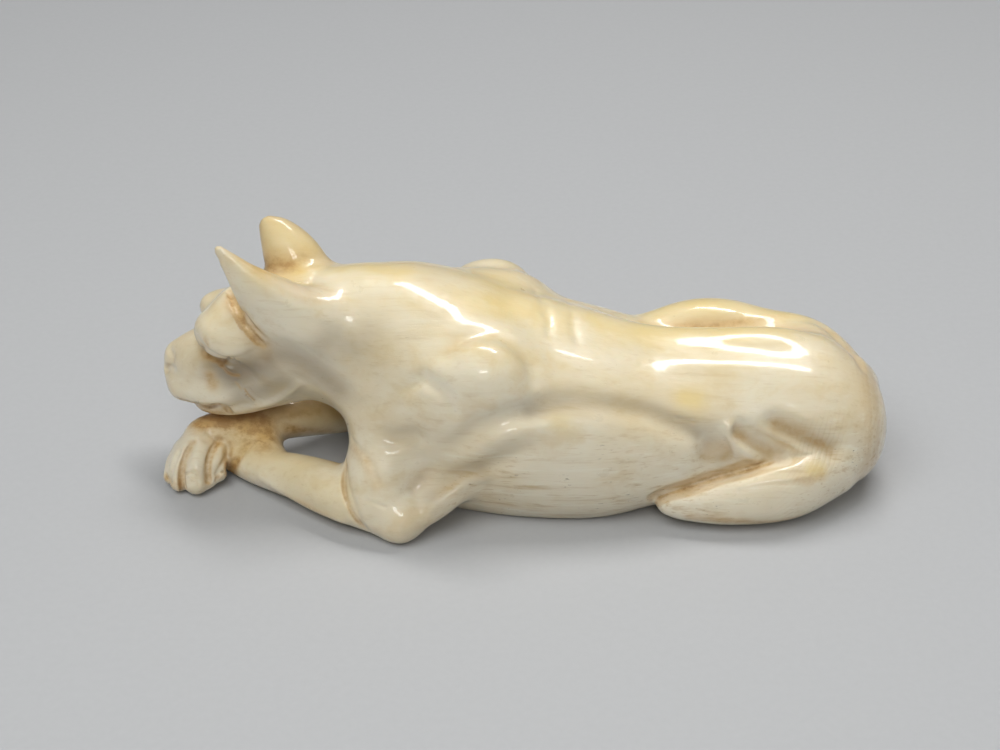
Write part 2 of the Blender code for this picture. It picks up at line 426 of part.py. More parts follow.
# Relief: each line is a name, sketch points in mm (a fourth number scales the depth there), the line's width and
# its depth in mm, with a negative depth for a ridge, and the mirror that repeats it on the far side. A spot has
# its radii in place of the width. The points are set onto the surface before anything is carved.
FLANK = (0.0, 0.0, 0.0)         # turn about Z in degrees and a point of the mirror: the body's middle
FACE = (-19.4, -40.5, 1.15)     # the face's middle, which is turned with the head
LINES = {
    "rib groove": ([(-9.5, -15.5, 14.5, 0.5), (-7.5, -16, 16.5, 0.8), (-6, -16, 18, 1), (-3, -15.5, 19, 1), (0.5, -14, 19.5, 1), (3.5, -13, 20, 0.8), (7.5, -12.5, 20, 0.65), (11.5, -12, 19, 0.65), (16.5, -12, 17.5, 0.75), (20.5, -12.5, 16, 0.9), (24.5, -12.5, 14, 0.8)], 1.5, 0.95, FLANK),
    "rib swell": ([(-7.5, -15.5, 13, 0.6), (-4.5, -16, 15.5, 1), (-1.5, -15.5, 17, 1), (2.5, -14.5, 17, 0.6)], 1.6, -0.45),
    "behind elbow": ([(-13.5, -16.5, 6.5, 0.6), (-11.5, -15.5, 8, 0.9), (-9.5, -15, 9, 1), (-7.5, -15, 10, 0.9), (-4.5, -15.5, 11.5, 0.8), (-2, -15.5, 13, 0.6), (0.5, -15.5, 14, 0.4)], 1.3, 0.8, FLANK),
    "elbow flap edge": ([(-12.5, -17, 6), (-10, -16, 7.5), (-7.5, -15, 9), (-5.5, -15, 9.5)], 0.9, -0.4),
    "shoulder arc": ([(-10, -11.5, 27, 0.6), (-9, -10.5, 28, 0.9), (-6.5, -9.5, 28.5, 1), (-3.5, -9, 28, 1), (-1.5, -9.5, 27, 0.9), (0.5, -10.5, 25, 0.8), (1, -12, 23, 0.5)], 1.5, 0.75, FLANK),
    "upper arm arc": ([(-15.5, -12.5, 22, 0.6), (-13.5, -12.5, 23.5, 1), (-11.5, -13.5, 23, 1), (-10, -14.5, 22, 1), (-9.5, -15, 20, 0.6)], 1, 0.45, FLANK),
    "upper arm pit": ([(-18.5, -13, 15, 0.7), (-17, -13.5, 14.5, 1), (-14.5, -14, 15.5, 0.7)], 1.3, 0.85, FLANK),
    "neck base": ([(-25.5, -9, 25.5, 0.7), (-24, -10, 24, 1), (-23, -10.5, 21.5, 1), (-22.5, -11, 19.5, 0.6)], 2.2, 0.7),
    "arm crease": ([(-24.25, -12.25, 9, 0.6), (-24, -14.25, 7.75, 1), (-23, -16.5, 5.5, 1), (-21.75, -17, 2.25, 0.8)], 0.7, 0.5, FLANK),
    "forearm ridge": ([(-36.5, -7.5, 4), (-34.5, -9, 3.5), (-32, -10.5, 3), (-29, -12.5, 2.5), (-25, -15.5, 2.5)], 0.8, -0.35),
    "flank hollow 2": ([(29, -11.5, 14.5, 0.8), (31.5, -11.5, 13, 1), (35, -11.5, 11, 0.8)], 1.2, 1.35),
    "flank hollow 3": ([(33.5, -10.5, 15, 0.8), (37, -11, 13.5, 1), (41.5, -11.5, 11.5, 0.6)], 1.4, 1.1),
    "flank ridge 1": ([(27.5, -11.5, 15), (28.5, -12, 12.5), (31.5, -12, 10)], 0.8, -0.5),
    "back swell": ([(14, -4.5, 23, 0.4), (24, -4.5, 21, 1), (32, -5, 20.5, 1), (38, -6, 20, 0.5)], 2.4, -0.4),
    "flank ridge 2": ([(31.75, -11, 14.25), (34.75, -11.25, 12.75), (38, -11.75, 11.25)], 0.7, -0.35),
    "thigh crease": ([(18, -13.5, 5, 1), (19.5, -14, 6, 1), (22.5, -14, 7, 1), (25.5, -13.5, 8, 1), (30, -13, 9, 1), (34.5, -12.5, 10.5, 0.9), (38, -12, 11, 0.4)], 0.8, 1.2),
    "rump crease": ([(33.5, 6, 21.5, 0.4), (38.5, 6.5, 21.5, 1), (41.5, 6.5, 20.5, 1), (44, 4, 19.5, 1), (46.5, -1, 18, 0.8)], 0.9, 0.35),
    "fold 1": ([(1.75, 5, 26.75), (2.25, 0.75, 27.75), (2.5, -2, 27.25)], 0.6, 0.12),
    "fold 2": ([(3, 0.5, 27.5), (3.25, -2.75, 26.75), (3.25, -5.25, 26)], 0.6, 0.16),
    "fold 3": ([(6.25, 5.25, 25), (6.5, -2, 26), (7, -5, 24.75)], 0.7, 0.14),
    "brow edge": ([(-44, -3.75, 24, 0.5), (-43, -4.5, 23, 1), (-41.75, -5.25, 22.5, 1), (-39.75, -6, 22.25, 1), (-37.75, -6.5, 22.5, 0.9), (-36, -6.5, 23.5, 0.5)], 0.7, 0.6, FACE),
    "eye hollow": ([(-42, -3, 20, 0.6), (-39.5, -5, 20.5, 1), (-37, -6.5, 21.5, 1), (-35, -6.5, 23, 0.5)], 1.7, 0.8, FACE),
    "ear crevice": ([(-39.75, 0.5, 29.5, 0.5), (-38.5, -2.75, 29.25, 1), (-37.5, -4.75, 28.25, 1), (-36.25, -5.75, 26.75, 1), (-35, -6.5, 25.5, 0.6)], 0.6, 1.1),
    "throat": ([(-35, -6.5, 24.5, 0.5), (-31.5, -8, 24.5, 1), (-28, -9, 23, 1), (-25, -10, 20.5, 1), (-23.5, -10.5, 18, 0.6)], 1.9, 0.9),
    "neck ridge": ([(-30.5, -8, 28.5, 0.5), (-27.5, -9, 26.5, 1), (-24, -10, 23, 1), (-22, -11, 20, 0.5)], 1.7, -0.45),
    "mouth line": ([(-45.5, -1.5, 12.25, 0.8), (-44.25, -2, 12.25, 1), (-42.25, -2.75, 12.75, 1), (-41.25, -2.25, 12, 1), (-40.75, -2.25, 11, 0.8)], 0.45, 0.45),
    "jaw edge": ([(-30.5, -6.5, 19, 0.4), (-32.5, -4, 15, 1), (-35, -3, 13.5, 1), (-37.5, -3, 13, 0.5)], 0.8, -0.3),
    "under nose": ([(-50, 2, 15.5, 1), (-49.5, 1.25, 16, 1), (-48.75, 0.75, 16.5, 0.4)], 0.6, 0.95),
    "toes 1": ([(-46.25, -3, 6.75), (-47, -5, 5.5), (-47.75, -5.75, 4), (-48, -7, 1.75)], 0.5, 0.4),
    "toes 2": ([(-43, -2, 6.25), (-43.75, -4, 5.5), (-44.25, -5.5, 4.25), (-44.25, -6.25, 2.5)], 0.5, 0.45),
    "wrist crease": ([(-41.75, -3.25, 2, 0.8), (-40.5, -4, 4.25, 1), (-39.25, -3.5, 5.75, 1), (-38.25, -3, 6.5, 0.4)], 0.6, 0.7),
    "toes 0": ([(-48.25, -4, 5.75), (-49, -5.25, 4.25), (-49.5, -5.75, 2.25)], 0.4, 0.3),
    "far mouth line": ([(-46.5, 6.75, 12.25, 0.6), (-44, 7, 12.75, 1), (-41.25, 6.5, 12.75, 1), (-38.75, 5.75, 13.25, 0.6)], 0.5, 0.5),
    "near ear hollow": ([(-38, -3.5, 30, 0.5), (-38.5, -4, 32, 1), (-39.5, -4.5, 34, 1), (-40, -4.5, 36.5, 0.4)], 1.1, 0.8),
    "far ear hollow": ([(-33.5, 8, 29, 0.5), (-34.5, 8, 31.5, 1), (-35, 8.5, 33.5, 1), (-35.5, 8.5, 35, 0.4)], 1.1, 0.8),
}
SPOTS = {
    "shoulder swell": ((-5, -13.5, 25.25), (6.0, 5.0, 4.2), -0.7, FLANK),
    "upper arm swell": ((-13.75, -14, 19.25), (2.8, 2.6, 2.6), -0.35),
    "arm front swell": ((-20.5, -15, 10.75), (2.6, 3.0, 4.0), -0.4),
    "flank hollow 1": ((25.75, -12.75, 12.5), (2.2, 2.2, 2.2), 1.8),
    "cheek hollow": ((-39.25, -4, 19), (3.2, 2.6, 2.4), 0.9, FACE),
    "eye": ((-39.75, -5.75, 21.5), (0.8, 0.8, 0.6), -0.4, FACE),
    "cheek": ((-34.75, -5.25, 18.75), (2.8, 2.4, 2.4), -0.35),
    "neck hollow": ((-23.75, -8.25, 27.75), (4.5, 3.0, 4.0), 0.5),
    "temple": ((-35, -6.5, 24.25), (1.6, 1.6, 1.6), 0.5),
}

def mirrored(points, mirror):
    angle, x, y = mirror
    across = V(-math.sin(math.radians(angle)), math.cos(math.radians(angle)), 0)
    points = np.array(points, float)
    points[:, :3] -= 2 * ((points[:, :3] - V(x, y, 0)) @ across)[:, None] * across
    return points

def onto(F, points):
    points = np.array(points, float)
    points[:, :3] = settle(F, points[:, :3], 10)
    return points

def relief(F):
    carve = []
    for points, width, depth, *mirror in LINES.values():
        carve.append((F.stroke, onto(F, points), width, depth))
        for m in mirror:
            carve.append((F.stroke, onto(F, mirrored(points, m)), width, 0.9 * depth))
    for centre, radii, depth, *mirror in SPOTS.values():
        carve.append((F.dent, onto(F, [centre])[0], radii, depth))
        for m in mirror:
            carve.append((F.dent, onto(F, mirrored([centre], m))[0], radii, 0.9 * depth))
    for tool, where, size, depth in carve:
        tool(where, size, depth)
    # valley between the spine and the far haunch
    F.stroke([(10, 4.0, 23.2, .2), (16, 4.4, 21.2, .8), (24, 4.5, 20.4, 1), (32, 4.4, 20.4, 1), (38, 3.9, 20.0, .8), (44, 2.6, 17.2, .3)], 2.4, 1.2)



def floor_cut(F, depth):
    """Ends the form a little below the resting plane."""
    F.custom((-80, -60, -20), (80, 60, 6), lambda p, d: smax(d, -(p[:, 2] + depth), 0.4))

def triangles(verts, quads):
    """Each quad is split along its shorter diagonal."""
    a, b, c, d = (verts[quads[:, i]] for i in range(4))
    first = ((a - c) ** 2).sum(1) <= ((b - d) ** 2).sum(1)
    t1 = np.where(first[:, None], quads[:, [0, 1, 2]], quads[:, [0, 1, 3]])
    t2 = np.where(first[:, None], quads[:, [0, 2, 3]], quads[:, [1, 2, 3]])
    return np.vstack([t1, t2])

def collection(name):
    c = bpy.data.collections.new(name)
    bpy.context.scene.collection.children.link(c)
    return c

def box(name, lo, hi, where):
    me = bpy.data.meshes.new(name)
    bm = bmesh.new()
    bmesh.ops.create_cube(bm, size=1.0)
    for v in bm.verts:
        v.co = [lo[i] + (v.co[i] + 0.5) * (hi[i] - lo[i]) for i in range(3)]
    bm.to_mesh(me)
    bm.free()
    ob = bpy.data.objects.new(name, me)
    where.objects.link(ob)
    return ob

def main():
    for ob in list(bpy.data.objects):
        bpy.data.objects.remove(ob, do_unlink=True)
    parts = collection(NAME)
    cutters = collection("cutters")
    cutters.hide_render = True

    F = build()
    lo, d = lattice(F, (-56, -24, -4), (56, 24, 44), GRID_MM)
    verts, quads = nets(lo, GRID_MM, d)
    verts = settle(F, verts)
    tris = triangles(verts, quads)

    me = bpy.data.meshes.new(NAME)
    me.from_pydata((verts * MM).tolist(), [], tris.tolist())
    me.update()
    dog = bpy.data.objects.new(NAME, me)
    parts.objects.link(dog)
    bone = bpy.data.materials.new("bone")
    bone.use_nodes = True
    shader = bone.node_tree.nodes["Principled BSDF"]
    shader.inputs["Base Color"].default_value = BONE
    shader.inputs["Roughness"].default_value = 0.3
    me.materials.append(bone)

    facets = dog.modifiers.new("facets", "DECIMATE")
    facets.decimate_type = "COLLAPSE"
    facets.ratio = TRIANGLES / len(tris)
    facets.use_collapse_triangulate = True

    floor = box("floor_cutter", (-0.08, -0.06, -0.02), (0.08, 0.06, 0.0), cutters)
    floor.hide_render = True
    floor.display_type = "WIRE"
    cut = dog.modifiers.new("flat_underside", "BOOLEAN")
    cut.operation = "DIFFERENCE"
    cut.solver = "EXACT"
    cut.object = floor

main()
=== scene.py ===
# A dog carved from one piece of bone, lying down with its chin on its crossed forepaws: the fine carving and its looks.
# The same form as the solid's is worked out again on a finer lattice, with the eye, lips, toes, creases and tool marks
# added, and the polished, age-toned bone is a node material driven by how hollow or patinated each place is, with shade
# painted into its colour where shade falls.
import math
import bpy
import numpy as np
from mathutils import Matrix, Vector


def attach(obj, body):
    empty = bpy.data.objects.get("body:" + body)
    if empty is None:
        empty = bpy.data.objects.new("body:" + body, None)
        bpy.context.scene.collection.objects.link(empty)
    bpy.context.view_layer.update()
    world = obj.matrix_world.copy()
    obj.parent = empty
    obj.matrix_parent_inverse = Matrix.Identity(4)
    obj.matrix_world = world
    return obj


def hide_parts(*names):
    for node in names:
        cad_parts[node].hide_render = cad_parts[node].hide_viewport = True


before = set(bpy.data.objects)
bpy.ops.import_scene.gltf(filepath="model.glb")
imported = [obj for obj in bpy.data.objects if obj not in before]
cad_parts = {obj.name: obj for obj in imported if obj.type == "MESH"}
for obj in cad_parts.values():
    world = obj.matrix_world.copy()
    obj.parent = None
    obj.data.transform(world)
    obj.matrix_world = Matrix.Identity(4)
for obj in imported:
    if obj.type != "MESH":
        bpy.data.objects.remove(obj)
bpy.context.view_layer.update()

NAME = "lying_dog"
MM = 0.001
GRID_MM = 0.42             # spacing of the fine lattice
MOST_TRIANGLES = 192000

V = lambda *a: np.array(a, float)

def unit(v):
    v = np.asarray(v, float)
    return v / np.linalg.norm(v)

def smin(a, b, k):
    h = np.maximum(k - np.abs(a - b), 0.0) / k
    return np.minimum(a, b) - h * h * k * 0.25

def smax(a, b, k):
    return -smin(-a, -b, k)

def turn(yaw=0, pitch=0, roll=0):
    """columns are the local x, y, z axes; yaw about Z, pitch about Y, roll about X, in degrees"""
    y, p, r = (math.radians(t) for t in (yaw, pitch, roll))
    cz, sz, cy, sy, cx, sx = math.cos(y), math.sin(y), math.cos(p), math.sin(p), math.cos(r), math.sin(r)
    rz = np.array([[cz, -sz, 0], [sz, cz, 0], [0, 0, 1]])
    ry = np.array([[cy, 0, sy], [0, 1, 0], [-sy, 0, cy]])
    rx = np.array([[1, 0, 0], [0, cx, -sx], [0, sx, cx]])
    return rz @ ry @ rx

def ellipsoid(p, c, r, m=None):
    q = p - c
    if m is not None:
        q = q @ m
    k0 = np.sqrt(((q / r) ** 2).sum(-1))
    k1 = np.sqrt(((q / (r * r)) ** 2).sum(-1))
    return np.where(k1 > 1e-9, k0 * (k0 - 1.0) / np.maximum(k1, 1e-9), -np.min(r))

def spline(points, n):
    """n points along a Catmull-Rom curve through rows of points"""
    p = np.asarray(points, float)
    if len(p) == 2:
        t = np.linspace(0, 1, n)[:, None]
        return p[0] * (1 - t) + p[1] * t
    q = np.vstack([2 * p[0] - p[1], p, 2 * p[-1] - p[-2]])
    s = np.linspace(0, len(p) - 1, n)
    i = np.minimum(s.astype(int), len(p) - 2)
    t = (s - i)[:, None]
    a, b, c, d = q[i], q[i + 1], q[i + 2], q[i + 3]
    return 0.5 * (2 * b + (c - a) * t + (2 * a - 5 * b + 4 * c - d) * t**2 + (3 * b - a - 3 * c + d) * t**3)

def tube(p, path, m=None, squash=None):
    """path: rows of x, y, z, radius. The nearest stretch of the tube, with its radius changing evenly along it.
    With m and squash, distances are measured in the local axes m, divided by squash."""
    path = np.asarray(path, float)
    a, b = path[:-1], path[1:]
    if m is not None:
        s = np.asarray(squash, float)
        p = (p @ m) / s
        a = np.hstack([(a[:, :3] @ m) / s, a[:, 3:]])
        b = np.hstack([(b[:, :3] @ m) / s, b[:, 3:]])
    best = np.full(len(p), 1e9)
    for u, v in zip(a, b):
        d = v[:3] - u[:3]
        w = p - u[:3]
        t = np.clip((w @ d) / max(d @ d, 1e-12), 0, 1)
        g = np.sqrt(((w - t[:, None] * d) ** 2).sum(-1)) - (u[3] + (v[3] - u[3]) * t)
        best = np.minimum(best, g)
    return best if m is None else best * float(np.min(squash))

def line_distance(p, pts):
    best = np.full(len(p), 1e9)
    for u, v in zip(pts[:-1], pts[1:]):
        d = v - u
        w = p - u
        t = np.clip((w @ d) / max(d @ d, 1e-12), 0, 1)
        best = np.minimum(best, ((w - t[:, None] * d) ** 2).sum(-1))
    return np.sqrt(best)

REACH = 3.0

class Form:
    """A list of carving steps, each touching only the points near it."""
    def __init__(self):
        self.steps = []

    def _add(self, lo, hi, fn):
        self.steps.append((np.asarray(lo, float), np.asarray(hi, float), fn))

    def ball(self, c, r, m=None, k=2.0, cut=False):
        c, r = V(*c), V(*r)
        big = r.max() + k + REACH
        if m is None:
            ext = r + k + REACH
        else:
            ext = np.sqrt(((m * r) ** 2).sum(1)) + k + REACH
        def fn(p, d):
            e = ellipsoid(p, c, r, m)
            return smax(d, -e, k) if cut else smin(d, e, k)
        self._add(c - ext, c + ext, fn)

    def limb(self, pts, k=2.0, n=None, m=None, squash=None, cut=False):
        path = spline(pts, n or 9 * (len(pts) - 1) + 1) if len(pts) > 2 else np.asarray(pts, float)
        s = 1.0 if squash is None else float(max(squash))
        ext = path[:, 3].max() * s + k + REACH
        def fn(p, d):
            e = tube(p, path, m, squash)
            return smax(d, -e, k) if cut else smin(d, e, k)
        self._add(path[:, :3].min(0) - ext, path[:, :3].max(0) + ext, fn)

    def stroke(self, pts, width, depth, n=None):
        """A soft groove (depth > 0) or ridge (depth < 0) along a line on the surface. pts may have a 4th and 5th
        column scaling depth and width along it."""
        pts = np.asarray(pts, float)
        path = spline(pts, n or max(2, 5 * (len(pts) - 1) + 1)) if len(pts) > 2 else pts
        ext = width * 2.6 * (path[:, 4].max() if path.shape[1] > 4 else 1)
        def fn(p, d):
            best, dep, wid = np.full(len(p), 1e9), np.ones(len(p)), np.ones(len(p))
            for u, v in zip(path[:-1], path[1:]):
                g = v[:3] - u[:3]
                w = p - u[:3]
                t = np.clip((w @ g) / max(g @ g, 1e-12), 0, 1)
                q = ((w - t[:, None] * g) ** 2).sum(-1)
                near = q < best
                best = np.where(near, q, best)
                if path.shape[1] > 3:
                    dep = np.where(near, u[3] + (v[3] - u[3]) * t, dep)
                if path.shape[1] > 4:
                    wid = np.where(near, u[4] + (v[4] - u[4]) * t, wid)
            return d + depth * dep * np.exp(-best / (width * wid) ** 2)
        self._add(path[:, :3].min(0) - ext, path[:, :3].max(0) + ext, fn)

    def dent(self, c, r, depth, m=None):
        """A soft hollow (depth > 0) or swelling (depth < 0) round a point on the surface."""
        c, r = V(*c), V(*r)
        ext = 2.6 * (r if m is None else np.sqrt(((m * r) ** 2).sum(1)))
        def fn(p, d):
            q = p - c
            if m is not None:
                q = q @ m
            return d + depth * np.exp(-((q / r) ** 2).sum(-1))
        self._add(c - ext, c + ext, fn)

    def custom(self, lo, hi, fn):
        self._add(lo, hi, fn)

    def value(self, p):
        p = np.asarray(p, float)
        d = np.full(len(p), 12.0)
        for lo, hi, fn in self.steps:
            inside = np.flatnonzero(((p > lo) & (p < hi)).all(1))
            if len(inside):
                d[inside] = fn(p[inside], d[inside])
        return d

    def slope(self, p, h=0.05):
        g = np.empty_like(p)
        for i in range(3):
            e = np.zeros(3)
            e[i] = h
            g[:, i] = self.value(p + e) - self.value(p - e)
        return g / (2 * h)

def lattice(form, lo, hi, step, coarse=1.6):
    """Distances on a grid, worked out finely only near the surface."""
    lo, hi = np.asarray(lo, float), np.asarray(hi, float)
    n = np.ceil((hi - lo) / step).astype(int) + 1
    ratio = max(1, int(round(coarse / step)))
    nc = (n + ratio - 1) // ratio + 1
    axes = [lo[i] + step * ratio * np.arange(nc[i]) for i in range(3)]
    g = np.stack(np.meshgrid(*axes, indexing="ij"), -1).reshape(-1, 3)
    c = form.value(g).reshape(nc).astype(np.float32)
    near = np.abs(c) < step * ratio * 1.9 + 0.6
    # grow by one coarse cell, so that thin pieces aren't missed
    grown = near.copy()
    for ax in range(3):
        a = [slice(None)] * 3; b = [slice(None)] * 3
        a[ax] = slice(1, None); b[ax] = slice(None, -1)
        grown[tuple(a)] |= near[tuple(b)]
        grown[tuple(b)] |= near[tuple(a)]
        near = grown.copy()
    idx = [np.minimum((np.arange(n[i]) + ratio // 2) // ratio, nc[i] - 1) for i in range(3)]
    full = c[np.ix_(*idx)]
    mask = grown[np.ix_(*idx)]
    where = np.argwhere(mask)
    out = np.where(full > 0, 5.0, -5.0).astype(np.float32)
    pts = lo + step * where
    vals = np.empty(len(pts), np.float32)
    for s in range(0, len(pts), 400000):
        vals[s:s + 400000] = form.value(pts[s:s + 400000])
    out[tuple(where.T)] = vals
    return lo, fill_touching(out)

def unsure_cells():
    """For each of the 256 patterns of a cell's corners: whether the surface in it would touch itself."""
    corners = [(i, j, k) for i in (0, 1) for j in (0, 1) for k in (0, 1)]
    def joined(group):
        seen, todo = set(), group[:1]
        while todo:
            a = todo.pop()
            seen.add(a)
            todo += [b for b in group if b not in seen and sum(abs(m - n) for m, n in zip(a, b)) == 1]
        return len(seen) == len(group)
    out = np.zeros(256, bool)
    for code in range(256):
        inside = [c for n, c in enumerate(corners) if code >> n & 1]
        outside = [c for c in corners if c not in inside]
        bad = not joined(inside) or not joined(outside)
        for ax in range(3):
            for side in (0, 1):
                face = [c for c in corners if c[ax] == side]
                ins = [c for c in face if c in inside]
                bad |= len(ins) == 2 and sum(abs(m - n) for m, n in zip(*ins)) == 2
        out[code] = bad
    return corners, out

def fill_touching(d):
    """Fills lattice points where the surface would touch itself, starting with the one nearest to it."""
    corners, bad = unsure_cells()
    nx, ny, nz = d.shape
    for _ in range(60):
        code = np.zeros((nx - 1, ny - 1, nz - 1), np.uint8)
        for n, (i, j, k) in enumerate(corners):
            code |= (d[i:nx - 1 + i, j:ny - 1 + j, k:nz - 1 + k] < 0).astype(np.uint8) << n
        cells = np.argwhere(bad[code])
        if not len(cells):
            break
        at = np.array([cells + c for c in corners])
        vals = d[at[..., 0], at[..., 1], at[..., 2]]
        pick = np.where(vals >= 0, vals, 99.0).argmin(0)
        hit = at[pick, np.arange(len(cells))]
        d[tuple(hit.T)] = -1e-3
    return d

def nets(lo, step, d):
    """Surface nets: one point in each cell that the surface crosses, one quad across each grid edge that it crosses."""
    s = d < 0
    nx, ny, nz = d.shape
    c = np.zeros((nx - 1, ny - 1, nz - 1), np.int8)
    for i in (0, 1):
        for j in (0, 1):
            for k in (0, 1):
                c += s[i:nx - 1 + i, j:ny - 1 + j, k:nz - 1 + k]
    cells = np.argwhere((c > 0) & (c < 8))
    index = -np.ones(c.shape, np.int64)
    index[tuple(cells.T)] = np.arange(len(cells))
    total = np.zeros((len(cells), 3)); count = np.zeros(len(cells))
    corners = [(i, j, k) for i in (0, 1) for j in (0, 1) for k in (0, 1)]
    for a in corners:
        for ax in range(3):
            if a[ax]:
                continue
            b = list(a); b[ax] = 1
            va = d[tuple((cells + a).T)].astype(float); vb = d[tuple((cells + b).T)].astype(float)
            hit = (va < 0) != (vb < 0)
            t = np.where(hit, va / np.where(hit, va - vb, 1), 0)
            pt = np.array(a, float) + np.zeros((len(cells), 3))
            pt[:, ax] += t
            total += np.where(hit[:, None], pt, 0); count += hit
    verts = lo + step * (cells + total / count[:, None])
    quads = []
    for ax in range(3):
        a = [slice(None)] * 3; b = [slice(None)] * 3
        a[ax] = slice(0, -1); b[ax] = slice(1, None)
        sa, sb = s[tuple(a)], s[tuple(b)]
        e = np.argwhere(sa != sb)
        o1, o2 = [(1, 2), (2, 0), (0, 1)][ax]
        ok = (e[:, o1] > 0) & (e[:, o2] > 0) & (e[:, o1] < d.shape[o1] - 1) & (e[:, o2] < d.shape[o2] - 1)
        e = e[ok]
        u = np.zeros(3, int); v = np.zeros(3, int); u[o1] = 1; v[o2] = 1
        q = np.stack([index[tuple((e - u - v).T)], index[tuple((e - v).T)], index[tuple(e.T)], index[tuple((e - u).T)]], 1)
        flip = ~sa[tuple(e.T)]
        q[flip] = q[flip][:, ::-1]
        quads.append(q)
    return verts, np.vstack(quads)

def settle(form, verts, rounds=2, most=0.4):
    """Moves points onto the surface along its slope."""
    for _ in range(rounds):
        d = form.value(verts)
        g = form.slope(verts)
        n2 = np.maximum((g * g).sum(1), 0.05)
        move = -(d / n2)[:, None] * g
        size = np.linalg.norm(move, axis=1)
        move *= np.minimum(1, most / np.maximum(size, 1e-9))[:, None]
        verts = verts + move
    return verts

# -------------------- the dog's form, in millimetres --------------------
TRUNK = np.array([
        #  x    top   bottom near   far   zc    yc  lower half's squareness
        [-37.0, 29.6, 14.2,  -5.6,  6.4, 22.8, 0.3, 1.5],
        [-32.0, 31.0, 12.5,  -7.6,  7.6, 23.8, 0.0, 1.45],
        [-28.0, 31.9, 12.2,  -9.0,  9.0, 22.8, 0.0, 1.55],
        [-25.0, 32.4, 11.0, -10.0, 10.0, 20.8, 0.0, 1.8],
        [-22.5, 32.7,  6.5, -10.9, 10.9, 18.5, 0.0, 1.9],
        [-20.0, 32.8,  1.5, -11.8, 11.8, 16.4, 0.0, 2.0],
        [-14.0, 32.5, -2.0, -13.8, 13.8, 15.0, 0.0, 2.2],
        [ -6.0, 30.2, -4.0, -15.2, 15.0, 13.8, 0.0, 2.2],
        [  2.0, 27.2, -5.0, -15.7, 15.3, 12.3, 0.0, 2.2],
        [ 10.0, 24.8, -4.6, -15.6, 15.0, 11.2, 0.0, 2.2],
        [ 18.0, 22.4, -1.8, -14.6, 14.4, 10.4, 0.0, 2.2],
        [ 26.0, 21.8, -0.4, -13.0, 13.6, 10.2, 0.0, 2.2],
        [ 34.0, 21.6, -0.6, -11.5, 13.0, 10.2, 0.0, 2.2],
        [ 40.0, 20.0, -1.0, -10.6, 12.0, 10.0, 0.0, 2.2],
        [ 44.5, 16.6, -0.4,  -9.0, 10.2,  9.4, 0.0, 2.2],
        [ 48.0, 12.6,  1.6,  -6.2,  7.0,  8.2, 0.0, 2.2],
        [ 50.4,  9.4,  5.0,  -2.6,  3.0,  7.4, 0.0, 2.2]])

def smooth_table(S, rows):
    """Stations smoothed by a curve through them."""
    q = spline(S, rows)
    return q

def add_trunk(F):
    T = smooth_table(TRUNK, 80)
    order = np.argsort(T[:, 0]); T = T[order]
    lo_x, hi_x = T[0, 0], T[-1, 0]
    def f(x, y, z):
        top, bot, near, far, zc, yc, low = [np.interp(x, T[:, 0], T[:, i]) for i in range(1, 8)]
        w = np.where(y < yc, yc - near, far - yc)
        h = np.where(z > zc, top - zc, zc - bot)
        n = np.where(z > zc, 1.95, low)
        return ((np.abs(y - yc) / w) ** n + (np.abs(z - zc) / h) ** n + 1e-9) ** (1 / n)
    def dist(p):
        x = np.clip(p[:, 0], lo_x, hi_x); y, z = p[:, 1], p[:, 2]
        e = 0.05
        v = f(x, y, z)
        gx = (f(x + e, y, z) - f(x - e, y, z)) / (2 * e)
        gy = (f(x, y + e, z) - f(x, y - e, z)) / (2 * e)
        gz = (f(x, y, z + e) - f(x, y, z - e)) / (2 * e)
        g = np.sqrt(gx * gx + gy * gy + gz * gz)
        d = (v - 1) / np.maximum(g, 0.03)
        cap = np.maximum(lo_x - p[:, 0], p[:, 0] - hi_x)
        return smax(d, cap, 4.0)
    def fn(p, d):
        return np.minimum(d, dist(p))
    F.custom((-44, -24, -8), (58, 24, 42), fn)

